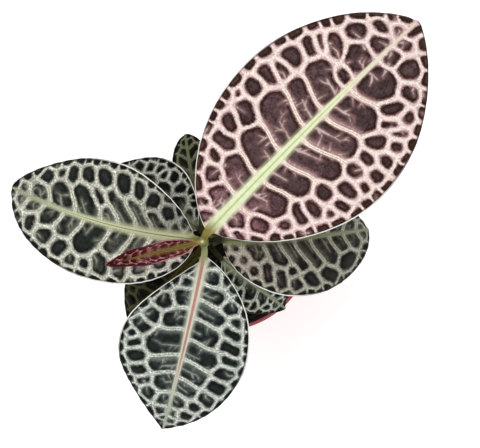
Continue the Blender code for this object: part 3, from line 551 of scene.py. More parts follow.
def add_piece(name, verts, faces, maps, finish, node=None):
    """A mesh of points in millimetres, with its maps, that rides with the plant."""
    mesh = bpy.data.meshes.new(name)
    mesh.from_pydata((np.asarray(verts, float) * MM).tolist(), [], faces)
    settle(add_object(name, mesh), maps, finish, node)


def add_object(name, data):
    thing = bpy.data.objects.new(name, data)
    bpy.context.scene.collection.objects.link(thing)
    return thing


def settle(piece, maps, finish, node=None):
    """Give a piece its maps and finish, and let it ride and stand for its node."""
    for label, values in maps.items():
        layer = piece.data.attributes.new(label, "FLOAT", "POINT")
        layer.data.foreach_set("value", np.asarray(values, np.float32))
    piece.data.materials.append(finish)
    piece.data.shade_smooth()
    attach(piece, "root")
    if node:
        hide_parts(node)


# Shader nodes

class Wiring:
    """Short ways to add nodes to one tree. A value is a number, a colour code or a socket."""

    def __init__(self, tree):
        self.tree = tree
        self.place = None  # millimetres on the object, which every noise reads

    def add(self, kind, **settings):
        node = self.tree.nodes.new(kind)
        for label, value in settings.items():
            setattr(node, label, value)
        return node

    def feed(self, sockets, **values):
        """Set or link sockets by name, where an underscore may stand for a space."""
        for label, value in values.items():
            name = label if label in sockets else label.replace("_", " ")
            self.join(sockets[name], value)

    def join(self, socket, value):
        if isinstance(value, bpy.types.NodeSocket):
            self.tree.links.new(value, socket)
        else:
            socket.default_value = tone(value) if isinstance(value, str) else value

    def calculate(self, operation, *values):
        node = self.add("ShaderNodeMath", operation=operation)
        for socket, value in zip(node.inputs, values):
            self.join(socket, value)
        return node.outputs[0]

    def plus(self, first, second):
        return self.calculate("ADD", first, second)

    def minus(self, first, second):
        return self.calculate("SUBTRACT", first, second)

    def times(self, first, second):
        return self.calculate("MULTIPLY", first, second)

    def least(self, first, second):
        return self.calculate("MINIMUM", first, second)

    def mix(self, share, first, second, blend="MIX"):
        node = self.add("ShaderNodeMix", data_type="RGBA", blend_type=blend)
        for socket, value in ((node.inputs["Factor"], share), (node.inputs[6], first),
                              (node.inputs[7], second)):
            self.join(socket, value)
        return node.outputs[2]

    def lay(self, color, over, mask, strength):
        """A second colour laid over the first by a mask and a strength."""
        return self.mix(self.times(mask, strength), color, over)

    def shaded(self, color, level):
        """A colour made lighter or darker by a factor."""
        grey = self.add("ShaderNodeCombineColor")
        for socket in grey.inputs:
            self.join(socket, level)
        return self.mix(1.0, color, grey.outputs[0], "MULTIPLY")

    def between(self, value, low, high, to_low=0.0, to_high=1.0):
        """Smooth change from one number to another as a value passes a range."""
        node = self.add("ShaderNodeMapRange", interpolation_type="SMOOTHSTEP")
        self.feed(node.inputs, Value=value, From_Min=low, From_Max=high,
                  To_Min=to_low, To_Max=to_high)
        return node.outputs["Result"]

    def object_place(self):
        """Place on the object, in millimetres."""
        spot = self.add("ShaderNodeTexCoord")
        scaled = self.add("ShaderNodeVectorMath", operation="SCALE")
        self.join(scaled.inputs[0], spot.outputs["Object"])
        scaled.inputs["Scale"].default_value = 1 / MM
        return scaled.outputs[0]

    def noise(self, scale, detail=2.0, roughness=0.5, distortion=0.0):
        node = self.add("ShaderNodeTexNoise")
        self.feed(node.inputs, Vector=self.place, Scale=scale, Detail=detail,
                  Roughness=roughness, Distortion=distortion)
        return node.outputs["Fac"]

    def swing(self, *settings):
        """Noise about zero."""
        return self.minus(self.noise(*settings), 0.5)

    def map(self, label):
        node = self.add("ShaderNodeAttribute", attribute_type="GEOMETRY", attribute_name=label)
        return node.outputs["Fac"]

    def group(self, tree, **values):
        node = self.add("ShaderNodeGroup", node_tree=tree)
        self.feed(node.inputs, **values)
        return node.outputs

    def clouded(self, mottle, color, scale, strength):
        return self.group(mottle, color=color, place=self.place, scale=scale,
                          strength=strength)["color"]

    def bump(self, height, distance, strength=1.0):
        node = self.add("ShaderNodeBump")
        self.feed(node.inputs, Height=height, Distance=distance * MM, Strength=strength)
        return node.outputs["Normal"]

    def dress(self, gloss, **values):
        """Feed the material's own shader."""
        self.feed(self.tree.nodes["Principled BSDF"].inputs, Specular_IOR_Level=gloss, **values)


def new_group(name, inputs, outputs):
    """The wiring of a new group, with its inputs by name as its ink, and its exit."""
    tree = bpy.data.node_groups.new(name, "ShaderNodeTree")
    for way, sockets in (("INPUT", inputs), ("OUTPUT", outputs)):
        for label, kind in sockets.items():
            tree.interface.new_socket(label, in_out=way, socket_type="NodeSocket" + kind)
    w = Wiring(tree)
    entry = w.add("NodeGroupInput").outputs
    w.ink = SimpleNamespace(**{label: entry[label] for label in inputs})
    return w, w.add("NodeGroupOutput").inputs


def new_finish(name):
    """A material and its wiring."""
    finish = bpy.data.materials.new(name)
    finish.use_nodes = True
    w = Wiring(finish.node_tree)
    w.place = w.object_place()
    return finish, w


def ragged_line_group():
    """A line with feathered edges: 1 inside its width, 0 away from it."""
    w, leave = new_group("ragged line", {"gap": "Float", "width": "Float", "feather": "Float",
                                         "raggedness": "Float", "place": "Vector"},
                         {"mask": "Float"})
    w.place = w.ink.place
    shake = w.plus(w.swing(0.75, 2.0, 0.6), w.swing(2.6, 2.0, 0.7))
    shake = w.plus(shake, w.swing(0.2, 1.0, 0.5))
    gap = w.plus(w.ink.gap, w.times(shake, w.ink.raggedness))
    inner = w.minus(w.ink.width, w.ink.feather)
    outer = w.plus(w.ink.width, w.ink.feather)
    w.feed(leave, mask=w.between(gap, inner, outer, 1.0, 0.0))
    return w.tree


def mottle_group():
    """Light and dark clouds on a colour, by a strength."""
    w, leave = new_group("mottle", {"color": "Color", "place": "Vector", "scale": "Float",
                                    "strength": "Float"}, {"color": "Color"})
    w.place = w.ink.place
    cloud = w.times(w.swing(w.ink.scale, 4.0, 0.6), w.ink.strength)
    w.feed(leave, color=w.shaded(w.ink.color, w.plus(1.0, w.times(cloud, 2.0))))
    return w.tree


# Noises on a leaf: waves in a millimetre, detail and roughness
LEAF_NOISE = {"grit": (1.5, 4.0, 0.85), "grain": (4.5, 3.0, 0.65), "bloom": (0.5, 4.0, 0.75),
              "frayed": (0.8, 4.0, 0.7), "smudge": (0.42, 3.0, 0.65), "haze": (0.9, 3.0, 0.7),
              "seam": (0.35, 2.0)}
LEAF_ROUGHNESS = (0.42, 0.56)  # of the cells, and of the veins
GRAIN_ROUGHNESS = 0.18
LEAF_INPUTS = {item.name: "Color" if item.type is str else "Float"
               for item in fields(Palette) if item.name != "gloss"}


def leaf_paint_group(ragged, mottle):
    """Colour, roughness and relief of a netted leaf, from the maps on its mesh."""
    w, leave = new_group("netted leaf", LEAF_INPUTS,
                         {"color": "Color", "roughness": "Float", "relief": "Float"})
    w.place = w.object_place()
    # Shared by the parts of the paint: the maps, how near the base it is, the veins' width
    w.on = SimpleNamespace(**{label: w.map(label) for label in (*LEAF_MAPS, "under")})
    w.mottle = mottle
    w.near_base = w.times(w.between(w.on.along, w.ink.base_reach, 0.0), w.on.base_glow)
    side_width = w.between(w.on.reach, 1.2, 0.8, 1.0, w.ink.side_width)
    w.width = w.least(w.times(w.ink.vein_width, side_width),
                      w.times(w.on.cell_size, WIDEST_VEIN))
    grit = w.noise(*LEAF_NOISE["grit"])
    speckle = w.between(grit, 0.42, 0.62)
    w.ripple = w.times(w.minus(grit, 0.5), 3.0)

    def line_mask(gap, width, feather, raggedness):
        return w.group(ragged, gap=gap, width=width, feather=feather, raggedness=raggedness,
                       place=w.place)["mask"]

    feather = w.least(w.plus(w.times(w.width, 0.3), 0.2), 0.5)
    vein = line_mask(w.on.vein_gap, w.width, feather, w.times(feather, 3.1))
    twig = line_mask(w.on.twig_gap, 0.0, 0.38, 0.8)
    spread = w.times(w.ink.rib_spread, w.between(w.on.along, 0.9, 0.0))
    rib = w.between(w.minus(w.on.rib_gap, spread), 0.2, -0.2)

    color = w.mix(vein, patch_color(w, twig), line_color(w, speckle))
    color = w.mix(rib, edged(w, color), rib_color(w))
    under = w.lay(w.ink.under, w.ink.under_vein, vein, 0.85)
    under = w.clouded(mottle, w.mix(rib, under, w.ink.under_vein), 0.7, 0.3)
    grain = w.noise(*LEAF_NOISE["grain"])
    rough = w.between(vein, 0.0, 1.0, *LEAF_ROUGHNESS)
    relief = w.plus(w.times(grain, 0.5), w.times(twig, -0.4))
    w.feed(leave, color=w.mix(w.on.under, color, under),
           roughness=w.plus(rough, w.times(w.minus(grain, 0.5), GRAIN_ROUGHNESS)),
           relief=w.plus(relief, w.times(speckle, 0.35)))
    return w.tree


def patch_color(w, twig):
    """The cells: cloudy, with painted shade at their rims, pale haze, a painted soft shadow beside
    the side veins, and twigs.
    """
    ink = w.ink
    bloom = w.between(w.noise(*LEAF_NOISE["bloom"]), 0.44, 0.62)
    foot = w.lay(ink.base, ink.vein_base, bloom, 0.6)
    patch = w.lay(ink.patch, foot, w.near_base, ink.base_share)
    patch = w.lay(patch, ink.hem, w.between(w.on.edge_gap, 5.5, 1.5), 0.85)
    patch = w.clouded(w.mottle, patch, 0.3, 1.0)
    # Painted shade: the cells darken towards their rims, where they fall to the veins.
    frayed = w.times(w.swing(*LEAF_NOISE["frayed"]), 1.6)
    depth = w.plus(w.minus(w.on.vein_gap, w.width), frayed)
    patch = w.mix(w.between(depth, 0.45, 2.1), ink.patch_rim, patch)
    patch = w.shaded(patch, w.between(w.on.tint, 0.0, 1.0, 0.85, 1.2))
    patch = w.clouded(w.mottle, patch, 1.1, 1.1)
    smudge = w.between(w.noise(*LEAF_NOISE["smudge"]), 0.5, 0.64)
    patch = w.lay(patch, ink.patch_rim, smudge, 0.6)
    haze = w.plus(w.on.haze, w.times(w.swing(*LEAF_NOISE["haze"]), 0.8))
    haze = w.times(haze, ink.haze)
    patch = w.lay(patch, ink.lee, w.between(haze, -0.2, -0.6), 0.7)
    patch = w.lay(patch, ink.vein_edge, w.between(haze, 0.15, 0.6), 0.75)
    patch = w.lay(patch, ink.vein, w.between(haze, 0.5, 1.0), 0.8)
    patch = w.lay(patch, ink.vein_edge, w.between(w.on.twig_gap, 1.6, 0.0), 0.5)
    return w.lay(patch, w.mix(0.3, ink.vein, ink.vein_core), twig, ink.twig_share)


def line_color(w, speckle):
    """The veins: paler in the middle, with a seam, and brighter where they are side veins."""
    ink = w.ink
    crest = w.between(w.on.vein_gap, w.width, w.times(w.width, ink.crest))
    line = w.mix(crest, ink.vein_edge, ink.vein)
    line = w.lay(line, ink.vein_base, w.near_base, ink.base_share)
    heart = w.between(w.plus(w.on.core_gap, w.ripple), w.width, w.times(w.width, 0.2))
    line = w.lay(line, ink.vein_core, heart, 0.7)
    seam = w.times(w.between(w.on.core_gap, 0.8, 0.5), w.between(w.on.core_gap, 0.05, 0.4))
    seam = w.times(seam, w.between(w.noise(*LEAF_NOISE["seam"]), 0.35, 0.6))
    line = w.lay(line, ink.side_line, seam, ink.seam)
    inner = w.between(w.on.reach, 1.1, 0.75)
    bright = w.times(w.between(w.on.side_gap, 0.8, 0.45), inner)
    line = w.lay(line, ink.side_core, bright, w.between(speckle, 0.0, 1.0, 0.35, 0.75))
    middle = w.times(w.between(w.on.side_gap, 0.28, 0.1), inner)
    line = w.lay(line, ink.side_line, middle, 0.75)
    return w.clouded(w.mottle, line, 1.25, ink.grain)


def edged(w, color):
    """A leaf's colours, darker at the margin, with a pale hem, a glow beside the midrib, and
    painted shade over a half's base where asked.
    """
    ink, along, edge_gap = w.ink, w.on.along, w.on.edge_gap
    # Painted shade over the base of a half whose base setting is below zero; nothing where it is
    # above.
    color = w.lay(color, ink.patch_rim, w.near_base, -0.6)
    color = w.lay(color, ink.patch_rim, w.between(w.plus(edge_gap, w.ripple), 1.3, 0.5), 0.85)
    color = w.lay(color, ink.margin, w.between(edge_gap, 0.62, 0.42), w.between(along, 0.7, 0.4))
    glow = w.times(w.between(w.on.rib_gap, 2.4, 0.3), w.between(along, 0.75, 0.1))
    return w.lay(color, ink.rib, glow, 0.6)


def rib_color(w):
    """The midrib, with its stripe, and the stalk below it."""
    ink, along = w.ink, w.on.along
    rib = w.mix(w.between(along, 0.55, 0.95), ink.rib, ink.rib_tip)
    stripe = w.between(w.on.rib_share, w.plus(ink.stripe, 0.12), w.minus(ink.stripe, 0.12))
    rib = w.lay(rib, ink.rib_core, stripe, w.between(along, 0.8, 0.5))
    rib = w.mix(w.between(along, 0.06, -0.01), rib, ink.petiole)
    return w.clouded(w.mottle, rib, 0.5, 0.16)


def leaf_finish(name, palette, paint):
    finish, w = new_finish(name)
    painted = w.group(paint, **{label: getattr(palette, label) for label in LEAF_INPUTS})
    w.dress(palette.gloss, Base_Color=painted["color"], Roughness=painted["roughness"],
            Normal=w.bump(painted["relief"], 0.2))
    return finish


def pot_finish(mottle):
    """Moulded pink-red plastic with scuffs, soil dirt on its outer wall, most at the foot, and
    painted shade over its inner wall.
    """
    finish, w = new_finish("pot_plastic")
    scuff = w.between(w.noise(0.8, 5.0, 0.7, 0.6), 0.58, 0.75, 0.0, 0.35)
    base = w.lay(w.clouded(mottle, "#a94f5b", 0.09, 0.12), "#d99aa0", scuff, w.map("lip"))
    # One mask lays a near-black brown: soil dirt outside, and painted shade over the inner wall.
    dust = w.between(w.minus(w.map("dust"), w.noise(0.35, 5.0, 0.65)), -0.2, 0.2)
    rough = w.between(w.noise(1.6, 3.0, 0.6), 0.3, 0.7, 0.32, 0.46)
    w.dress(0.5, Base_Color=w.mix(dust, base, "#1f1612"),
            Roughness=w.plus(rough, w.times(dust, 0.4)),
            Normal=w.bump(w.noise(3.5, 2.0, 0.5), 0.05, 0.5))
    return finish


def soil_finish(name, dark, light, mottle):
    finish, w = new_finish(name)
    base = w.clouded(mottle, w.mix(w.map("tint"), dark, light), 0.8, 0.7)
    w.dress(0.2, Base_Color=base, Roughness=0.9, Normal=w.bump(w.noise(2.2, 5.0, 0.7), 0.5))
    return finish


def stem_finish(mottle):
    """Olive-green skin, browner below and at the leaf scars, with a pale bud."""
    finish, w = new_finish("stem")
    base = w.mix(w.between(w.map("height"), 0.1, 0.75), "#5f5432", "#7c8048")
    base = w.mix(w.map("scar"), base, "#6b4f35")
    base = w.mix(w.map("bud"), base, "#d8cf9c")
    w.dress(0.5, Base_Color=w.clouded(mottle, base, 0.9, 0.35),
            Roughness=w.between(w.noise(2.0, 3.0), 0.3, 0.7, 0.42, 0.6),
            Normal=w.bump(w.noise(3.0, 4.0, 0.6), 0.15))
    return finish


# Pot

def pot_wall_radius(z):
    """Outer radius of the tapered wall at a height."""
    top = RIM_RADIUS - LIP_OUT - COLLAR_TAPER - COLLAR_STEP
    return BASE_RADIUS + (top - BASE_RADIUS) * z / (POT_HEIGHT - COLLAR_HEIGHT)


def pot_corners():
    """Corners of the pot's section, each with the radius that rounds it."""
    collar = POT_HEIGHT - COLLAR_HEIGHT
    collar_top = RIM_RADIUS - LIP_OUT
    collar_foot = collar_top - COLLAR_TAPER
    side = pot_wall_radius(collar)
    inner_lip = RIM_RADIUS - RIM_WIDTH
    inner_foot = FLOOR + FOOT_ROUND
    return [
        (RIM_RADIUS, POT_HEIGHT, 0.6),
        (RIM_RADIUS, POT_HEIGHT - LIP_DEPTH, 0.4),
        (collar_top, POT_HEIGHT - LIP_DEPTH, 0.25),
        (collar_foot, collar, 0.4),
        (side, collar - COLLAR_SLOPE, 0.4),
        (pot_wall_radius(0.0), 0.0, 0.9),
        (BASE_RADIUS - FOOT_RING[0], 0.0, 0.3),
        (BASE_RADIUS - FOOT_RING[1], FOOT_RING[2], 0.3),
        (0.0, FOOT_RING[2], 0.0),
        (0.0, FLOOR, 0.0),
        (pot_wall_radius(inner_foot) - WALL, FLOOR, 0.9),
        (side - WALL, collar, 0.5),
        (collar_foot - WALL, collar + COLLAR_SLOPE, 0.5),
        (inner_lip, POT_HEIGHT, 0.6),
    ]


def rounded(corners):
    """Points of a closed outline whose corners are rounded."""
    points = []
    for index, (x, z, radius) in enumerate(corners):
        here = np.array([x, z])
        before = unit(np.array(corners[index - 1][:2]) - here)
        after = unit(np.array(corners[(index + 1) % len(corners)][:2]) - here)
        if radius == 0:
            points.append(here)
            continue
        for step in range(POT_CORNER_STEPS + 1):
            share = step / POT_CORNER_STEPS
            bend = (1 - share) ** 2 * before + share ** 2 * after
            points.append(here + bend * radius)
    return points


def make_pot(finish):
    shape = bmesh.new()
    profile = rounded(pot_corners())
    points = [shape.verts.new((r * MM, 0.0, z * MM)) for r, z in profile]
    edges = [shape.edges.new(pair) for pair in zip(points, points[1:] + points[:1])]
    bmesh.ops.spin(shape, geom=points + edges, cent=(0, 0, 0), axis=(0, 0, 1),
                   angle=math.tau, steps=POT_SIDES, use_merge=True)
    bmesh.ops.remove_doubles(shape, verts=shape.verts, dist=0.005 * MM)
    bmesh.ops.dissolve_degenerate(shape, edges=shape.edges, dist=0.001 * MM)
    bmesh.ops.recalc_face_normals(shape, faces=shape.faces)
    pot = add_object("pot_shell", mesh_of(shape, "pot_shell"))
    cut_drains(pot)
    place = np.zeros(len(pot.data.vertices) * 3)
    pot.data.vertices.foreach_get("co", place)
    place = place.reshape(-1, 3) / MM
    radius, height = np.hypot(place[:, 0], place[:, 1]), place[:, 2]
    inside = radius < np.interp(height, *POT_OUTLINE) - WALL / 2
    foot_dust = FOOT_DUST * ease(height, *DUSTY_FOOT)
    # Inside the pot this mask is painted shade; outside it is soil dirt, heaviest at the foot.
    dust = np.where(inside, ease(height, *SHADED_INSIDE), foot_dust)
    dust = np.maximum(dust, COLLAR_DUST * ease(height, *DUSTY_COLLAR) * ~inside)
    maps = {"lip": ease(height, *SCUFFED_LIP), "dust": dust}
    settle(pot, maps, finish, "pot")
    pot.data.set_sharp_from_angle(angle=SHARP_TURN)


def mesh_of(shape, name):
    mesh = bpy.data.meshes.new(name)
    shape.to_mesh(mesh)
    shape.free()
    return mesh


def cut_drains(pot):
    """Cut round holes in the floor, and slots low in the wall between them."""
    cutters = bpy.data.collections.new("drain_cutters")
    bpy.context.scene.collection.children.link(cutters)
    for index in range(DRAIN_HOLES):
        shape = bmesh.new()
        bmesh.ops.create_cone(shape, cap_ends=True, segments=CUTTER_SIDES,
                              radius1=DRAIN_HOLE_RADIUS * MM, radius2=DRAIN_HOLE_RADIUS * MM,
                              depth=CUTTER_LENGTH * MM)
        turn = math.tau * index / DRAIN_HOLES + DRAIN_TURN
        add_cutter(cutters, shape, DRAIN_HOLE_CIRCLE, turn, FLOOR / 2, facing=0.0)
    for index in range(FOOT_SLOTS):
        shape = bmesh.new()
        bmesh.ops.create_cube(shape, size=1.0)
        size = (CUTTER_LENGTH, FOOT_SLOT_WIDTH, 2 * FOOT_SLOT_HEIGHT)
        bmesh.ops.scale(shape, verts=shape.verts, vec=[length * MM for length in size])
        turn = math.tau * (index + 0.5) / FOOT_SLOTS
        add_cutter(cutters, shape, BASE_RADIUS, turn, 0.0, facing=turn)
    drain = pot.modifiers.new("drain", "BOOLEAN")
    drain.operation = "DIFFERENCE"
    drain.operand_type = "COLLECTION"
    drain.collection = cutters
    bpy.context.view_layer.update()
    ready = pot.evaluated_get(bpy.context.evaluated_depsgraph_get())
    cut = bpy.data.meshes.new_from_object(ready)
    pot.modifiers.clear()
    pot.data = in_order(cut)
    bpy.data.meshes.remove(cut)
    for cutter in list(cutters.objects):
        bpy.data.objects.remove(cutter)
    bpy.data.collections.remove(cutters)


def in_order(mesh):
    """The same mesh, with points and faces in an order that is the same on every run."""
    places = [tuple(point.co) for point in mesh.vertices]
    order = sorted(range(len(places)), key=lambda index: places[index])
    rank = {index: number for number, index in enumerate(order)}
    faces = []
    for face in mesh.polygons:
        corners = [rank[index] for index in face.vertices]
        first = corners.index(min(corners))
        faces.append(tuple(corners[first:] + corners[:first]))
    ordered = bpy.data.meshes.new("pot_shell")
    ordered.from_pydata([places[index] for index in order], [], sorted(faces))
    return ordered


def add_cutter(cutters, shape, radius, turn, height, facing):
    cutter = bpy.data.objects.new("cutter", mesh_of(shape, "cutter"))
    place = (radius * math.cos(turn), radius * math.sin(turn), height)
    cutter.location = [c * MM for c in place]
    cutter.rotation_euler = (0, 0, facing)
    cutters.objects.link(cutter)


# Soil

def soil_height(x, y):
    """Uneven top of the soil, a little higher round the stem."""
    turn = math.tau / SOIL_BUMP_SPACING
    bump = np.sin(turn * x + 1.3) * np.cos(turn * y - 0.4)
    bump = bump + 0.6 * np.sin(1.5 * turn * x + 2.0 * turn * y)
    away = np.hypot(x - FOOT[0], y - FOOT[1])
    return SOIL_LEVEL + SOIL_BUMP * bump + SOIL_MOUND * np.exp(-(away / SOIL_MOUND_REACH) ** 2)


def soil_surface(x, y):
    """The same, with grains and clods, and lower along the wall."""
    flat = np.stack([x, y, np.zeros_like(x)], axis=-1)
    grain = sum(share * lumps(flat, size, number)
                for number, (share, size) in enumerate(SOIL_LUMPS, start=1))
    share = np.hypot(x, y) / (pot_wall_radius(SOIL_LEVEL) - WALL)
    return soil_height(x, y) + SOIL_GRAIN * grain - SOIL_EDGE_DROP * ease(share, *SOIL_EDGE)


def make_soil(finish):
    turn = circle(int(SOIL_SIDES * detail))
    wall = pot_wall_radius(SOIL_LEVEL) - WALL - SOIL_GAP
    rings = []
    for radius, height in ((SOIL_FOOT[0], FLOOR + SOIL_FOOT[1]),
                           (wall - SOIL_SHOULDER[0], SOIL_LEVEL - SOIL_SHOULDER[1])):
        rings.append(radius * spokes(turn) + [0, 0, height])
    for radius in np.linspace(wall, SOIL_MIDDLE, int(SOIL_RINGS * detail)):
        x, y = radius * np.cos(turn), radius * np.sin(turn)
        rings.append(np.stack([x, y, soil_surface(x, y)], axis=-1))
    verts, faces = join_rings(rings)
    maps = {"tint": (0.5 + 0.5 * lumps(verts, SOIL_TINT_SIZE, 9)) * 0.5}
    add_piece("soil_bed", verts, faces, maps, finish, "soil")


def round_grain(level):
    """Points and triangles of a ball."""
    shape = bmesh.new()
    bmesh.ops.create_icosphere(shape, subdivisions=level, radius=1.0)
    points = np.array([v.co[:] for v in shape.verts])
    triangles = [tuple(v.index for v in f.verts) for f in shape.faces]
    shape.free()
    return points, triangles


def make_crumbs(finish):
    """Crumbs of peat and chips of bark, half sunk in the soil."""
    draw = np.random.default_rng(12)
    coarse, fine = round_grain(1), round_grain(2)
    verts, faces, tints = [], [], []
    total = 0
    reach = pot_wall_radius(SOIL_LEVEL) - WALL - CRUMB_EDGE
    for number in range(int(CRUMBS * detail) + CHIPS):
        chip = number < CHIPS
        points, triangles = fine if chip or number % FINE_CRUMB == 0 else coarse
        rough = lumps(points + number * CRUMB_SHIFT, CRUMB_ROUGHNESS[1], 5)
        points = points * (1 + CRUMB_ROUGHNESS[0] * rough[:, None])
        size = 1.0 if chip else draw.uniform(*CRUMB_SIZE)
        if chip:
            stretch = np.array([draw.uniform(*span) for span in CHIP_STRETCH])
        else:
            stretch = draw.uniform(*CRUMB_STRETCH, 3)
        points *= size * stretch
        turn, tilt = draw.uniform(0, math.tau), draw.uniform(-CRUMB_TILT, CRUMB_TILT)
        points = points @ np.array([[1, 0, 0], [0, math.cos(tilt), math.sin(tilt)],
                                    [0, -math.sin(tilt), math.cos(tilt)]])
        points = points @ np.array([[math.cos(turn), math.sin(turn), 0],
                                    [-math.sin(turn), math.cos(turn), 0], [0, 0, 1]])
        away = reach * math.sqrt(draw.uniform(*CRUMB_SPREAD))
        spin = draw.uniform(0, math.tau)
        x, y = away * math.cos(spin), away * math.sin(spin)
        height = float(soil_surface(np.array(x), np.array(y)))
        verts.append(points + np.array([x, y, height + CRUMB_LIFT * size * stretch[2]]))
        faces += [tuple(corner + total for corner in t) for t in triangles]
        tints.append(np.full(len(points), draw.uniform(*(CHIP_TINT if chip else CRUMB_TINT))))
        total += len(points)
    add_piece("soil_crumbs", np.concatenate(verts), faces, {"tint": np.concatenate(tints)},
              finish)


# Stem

def stem_axis(z):
    """Middle of the stem at a height: it leans and bends away from the pot's middle."""
    share = max(0.0, (z - FOOT[2]) / (CROWN[2] - FOOT[2]))
    middle = FOOT + (CROWN - FOOT) * share ** STEM_BEND
    middle[2] = z
    return middle


def stem_radius(z):
    share = (z - FOOT[2]) / (CROWN[2] - FOOT[2])
    return STEM_FOOT_RADIUS + (STEM_TOP_RADIUS - STEM_FOOT_RADIUS) * share


def scar_mark(turn, height):
    """How much of a leaf scar is at each angle of the stem at a height."""
    scar = np.zeros(STEM_SIDES)
    for scar_height, scar_turn in SCARS:
        away = np.angle(np.exp(1j * (turn - scar_turn)))
        drop = height - scar_height + SCAR_SAG * np.cos(away)
        scar = np.maximum(scar, np.exp(-(drop / SCAR_HEIGHT) ** 2)
                          * ease(np.abs(away), *SCAR_REACH))
    return scar


def make_stem(finish):
    """The stem with its leaf scars and swollen nodes, and the bud at its tip."""
    joints = [leaf.base[2] - leaf.fall for leaf in LEAVES]
    turn = circle(STEM_SIDES)
    out = spokes(turn)
    rings, scars, buds = [], [], []
    for height in np.arange(SOIL_LEVEL - STEM_SUNK, CROWN[2], STEM_STEP):
        near = min(abs(height - joint) for joint in joints)
        scar = scar_mark(turn, height)
        radius = stem_radius(height) + NODE_SWELL * math.exp(-near ** 2)
        radius = radius + SCAR_RISE * scar
        radius = radius + STEM_RIB_RISE * np.sin(STEM_RIBS * turn + STEM_RIB_TWIST * height)
        ring = stem_axis(height) + out * radius[:, None]
        rings.append(ring + out * STEM_GRAIN[0] * lumps(ring, STEM_GRAIN[1], 6)[:, None])
        scars.append(scar)
        buds.append(np.zeros(STEM_SIDES))
    top = stem_axis(CROWN[2])
    for share in np.linspace(0.05, 1.0, BUD_RINGS):
        fold = BUD_FOLD * np.cos(2 * turn - BUD_TWIST * share)
        radius = STEM_TOP_RADIUS * (1.02 - share) ** 0.75 * (0.9 + fold)
        rings.append(top + out * radius[:, None] + np.array([0, 0, share * BUD_LENGTH]))
        scars.append(np.zeros(STEM_SIDES))
        buds.append(np.full(STEM_SIDES, float(ease(share, *BUD_PALE))))
    verts, faces = join_rings(rings)
    maps = {"scar": np.concatenate(scars), "bud": np.concatenate(buds),
            "height": ease(verts[:, 2], SOIL_LEVEL, CROWN[2])}
    add_piece("stem_skin", verts, faces, maps, finish, "stem")


# The form of a blade

class Blade:
    """The curved surface of one leaf, in lengths along and out from its midrib."""

    def __init__(self, leaf):
        self.leaf = leaf
        self.base = np.array(leaf.base)
        self.tip = np.array(leaf.tip)
        chord = self.tip - self.base
        self.level = unit(np.array([-chord[1], chord[0], 0.0]))
        steps = self.midrib(np.linspace(0, 1, MIDRIB_STEPS + 1))
        self.length = float(np.linalg.norm(np.diff(steps, axis=0), axis=1).sum())

    def midrib(self, u):
        u = np.asarray(u, float)[..., None]
        bow = 4 * u * (1 - u)
        lift = np.array([0.0, 0.0, self.leaf.arch])
        return self.base + (self.tip - self.base) * u + (lift + self.level * self.leaf.bend) * bow

    def frame(self, u):
        """Points on the midrib, with the directions along, across and up."""
        step = 0.002
        u = np.asarray(u, float)
        along = unit(self.midrib(u + step) - self.midrib(u - step))
        across = unit(np.cross([0.0, 0.0, 1.0], along))
        return self.midrib(u), along, across, np.cross(along, across)

    def half_width(self, side, s):
        """Width of one half at the length s along the midrib."""
        width, base_round, tip_round = self.leaf.left if side > 0 else self.leaf.right
        u = np.clip(np.asarray(s, float) / self.length, 0.0, 1.0)
        peak = base_round / (base_round + tip_round)
        top = peak ** base_round * (1 - peak) ** tip_round
        return width * u ** base_round * (1 - u) ** tip_round / top

    def rib_width(self, s):
        return self.leaf.rib + (RIB_TIP_WIDTH - self.leaf.rib) * np.asarray(s, float) / self.length

    def point(self, side, s, t):
        """Places at lengths s, and distances t out on one side."""
        leaf = self.leaf
        u = np.clip(np.asarray(s, float) / self.length, 0.0, 1.0)
        middle, _, across, up = self.frame(u)
        width = np.maximum(self.half_width(side, s), self.rib_width(s))
        v = t / width
        turn = math.radians(leaf.fold)
        out = across * side * math.cos(turn) + up * math.sin(turn)
        over = up * math.cos(turn) - across * side * math.sin(turn)
        ripple = leaf.wave * np.sin(math.tau * leaf.waves * u + WAVE_SHIFT * side)
        rise = v * v * (ripple - leaf.droop * width)
        return middle + out * t[..., None] + over * rise[..., None]

    def normal(self, side, s, t):
        step = 0.3
        ahead = self.point(side, s + step, t) - self.point(side, s - step, t)
        outward = self.point(side, s, t + step) - self.point(side, s, t - step)
        return unit(np.cross(ahead, outward) * side)


# The net of veins

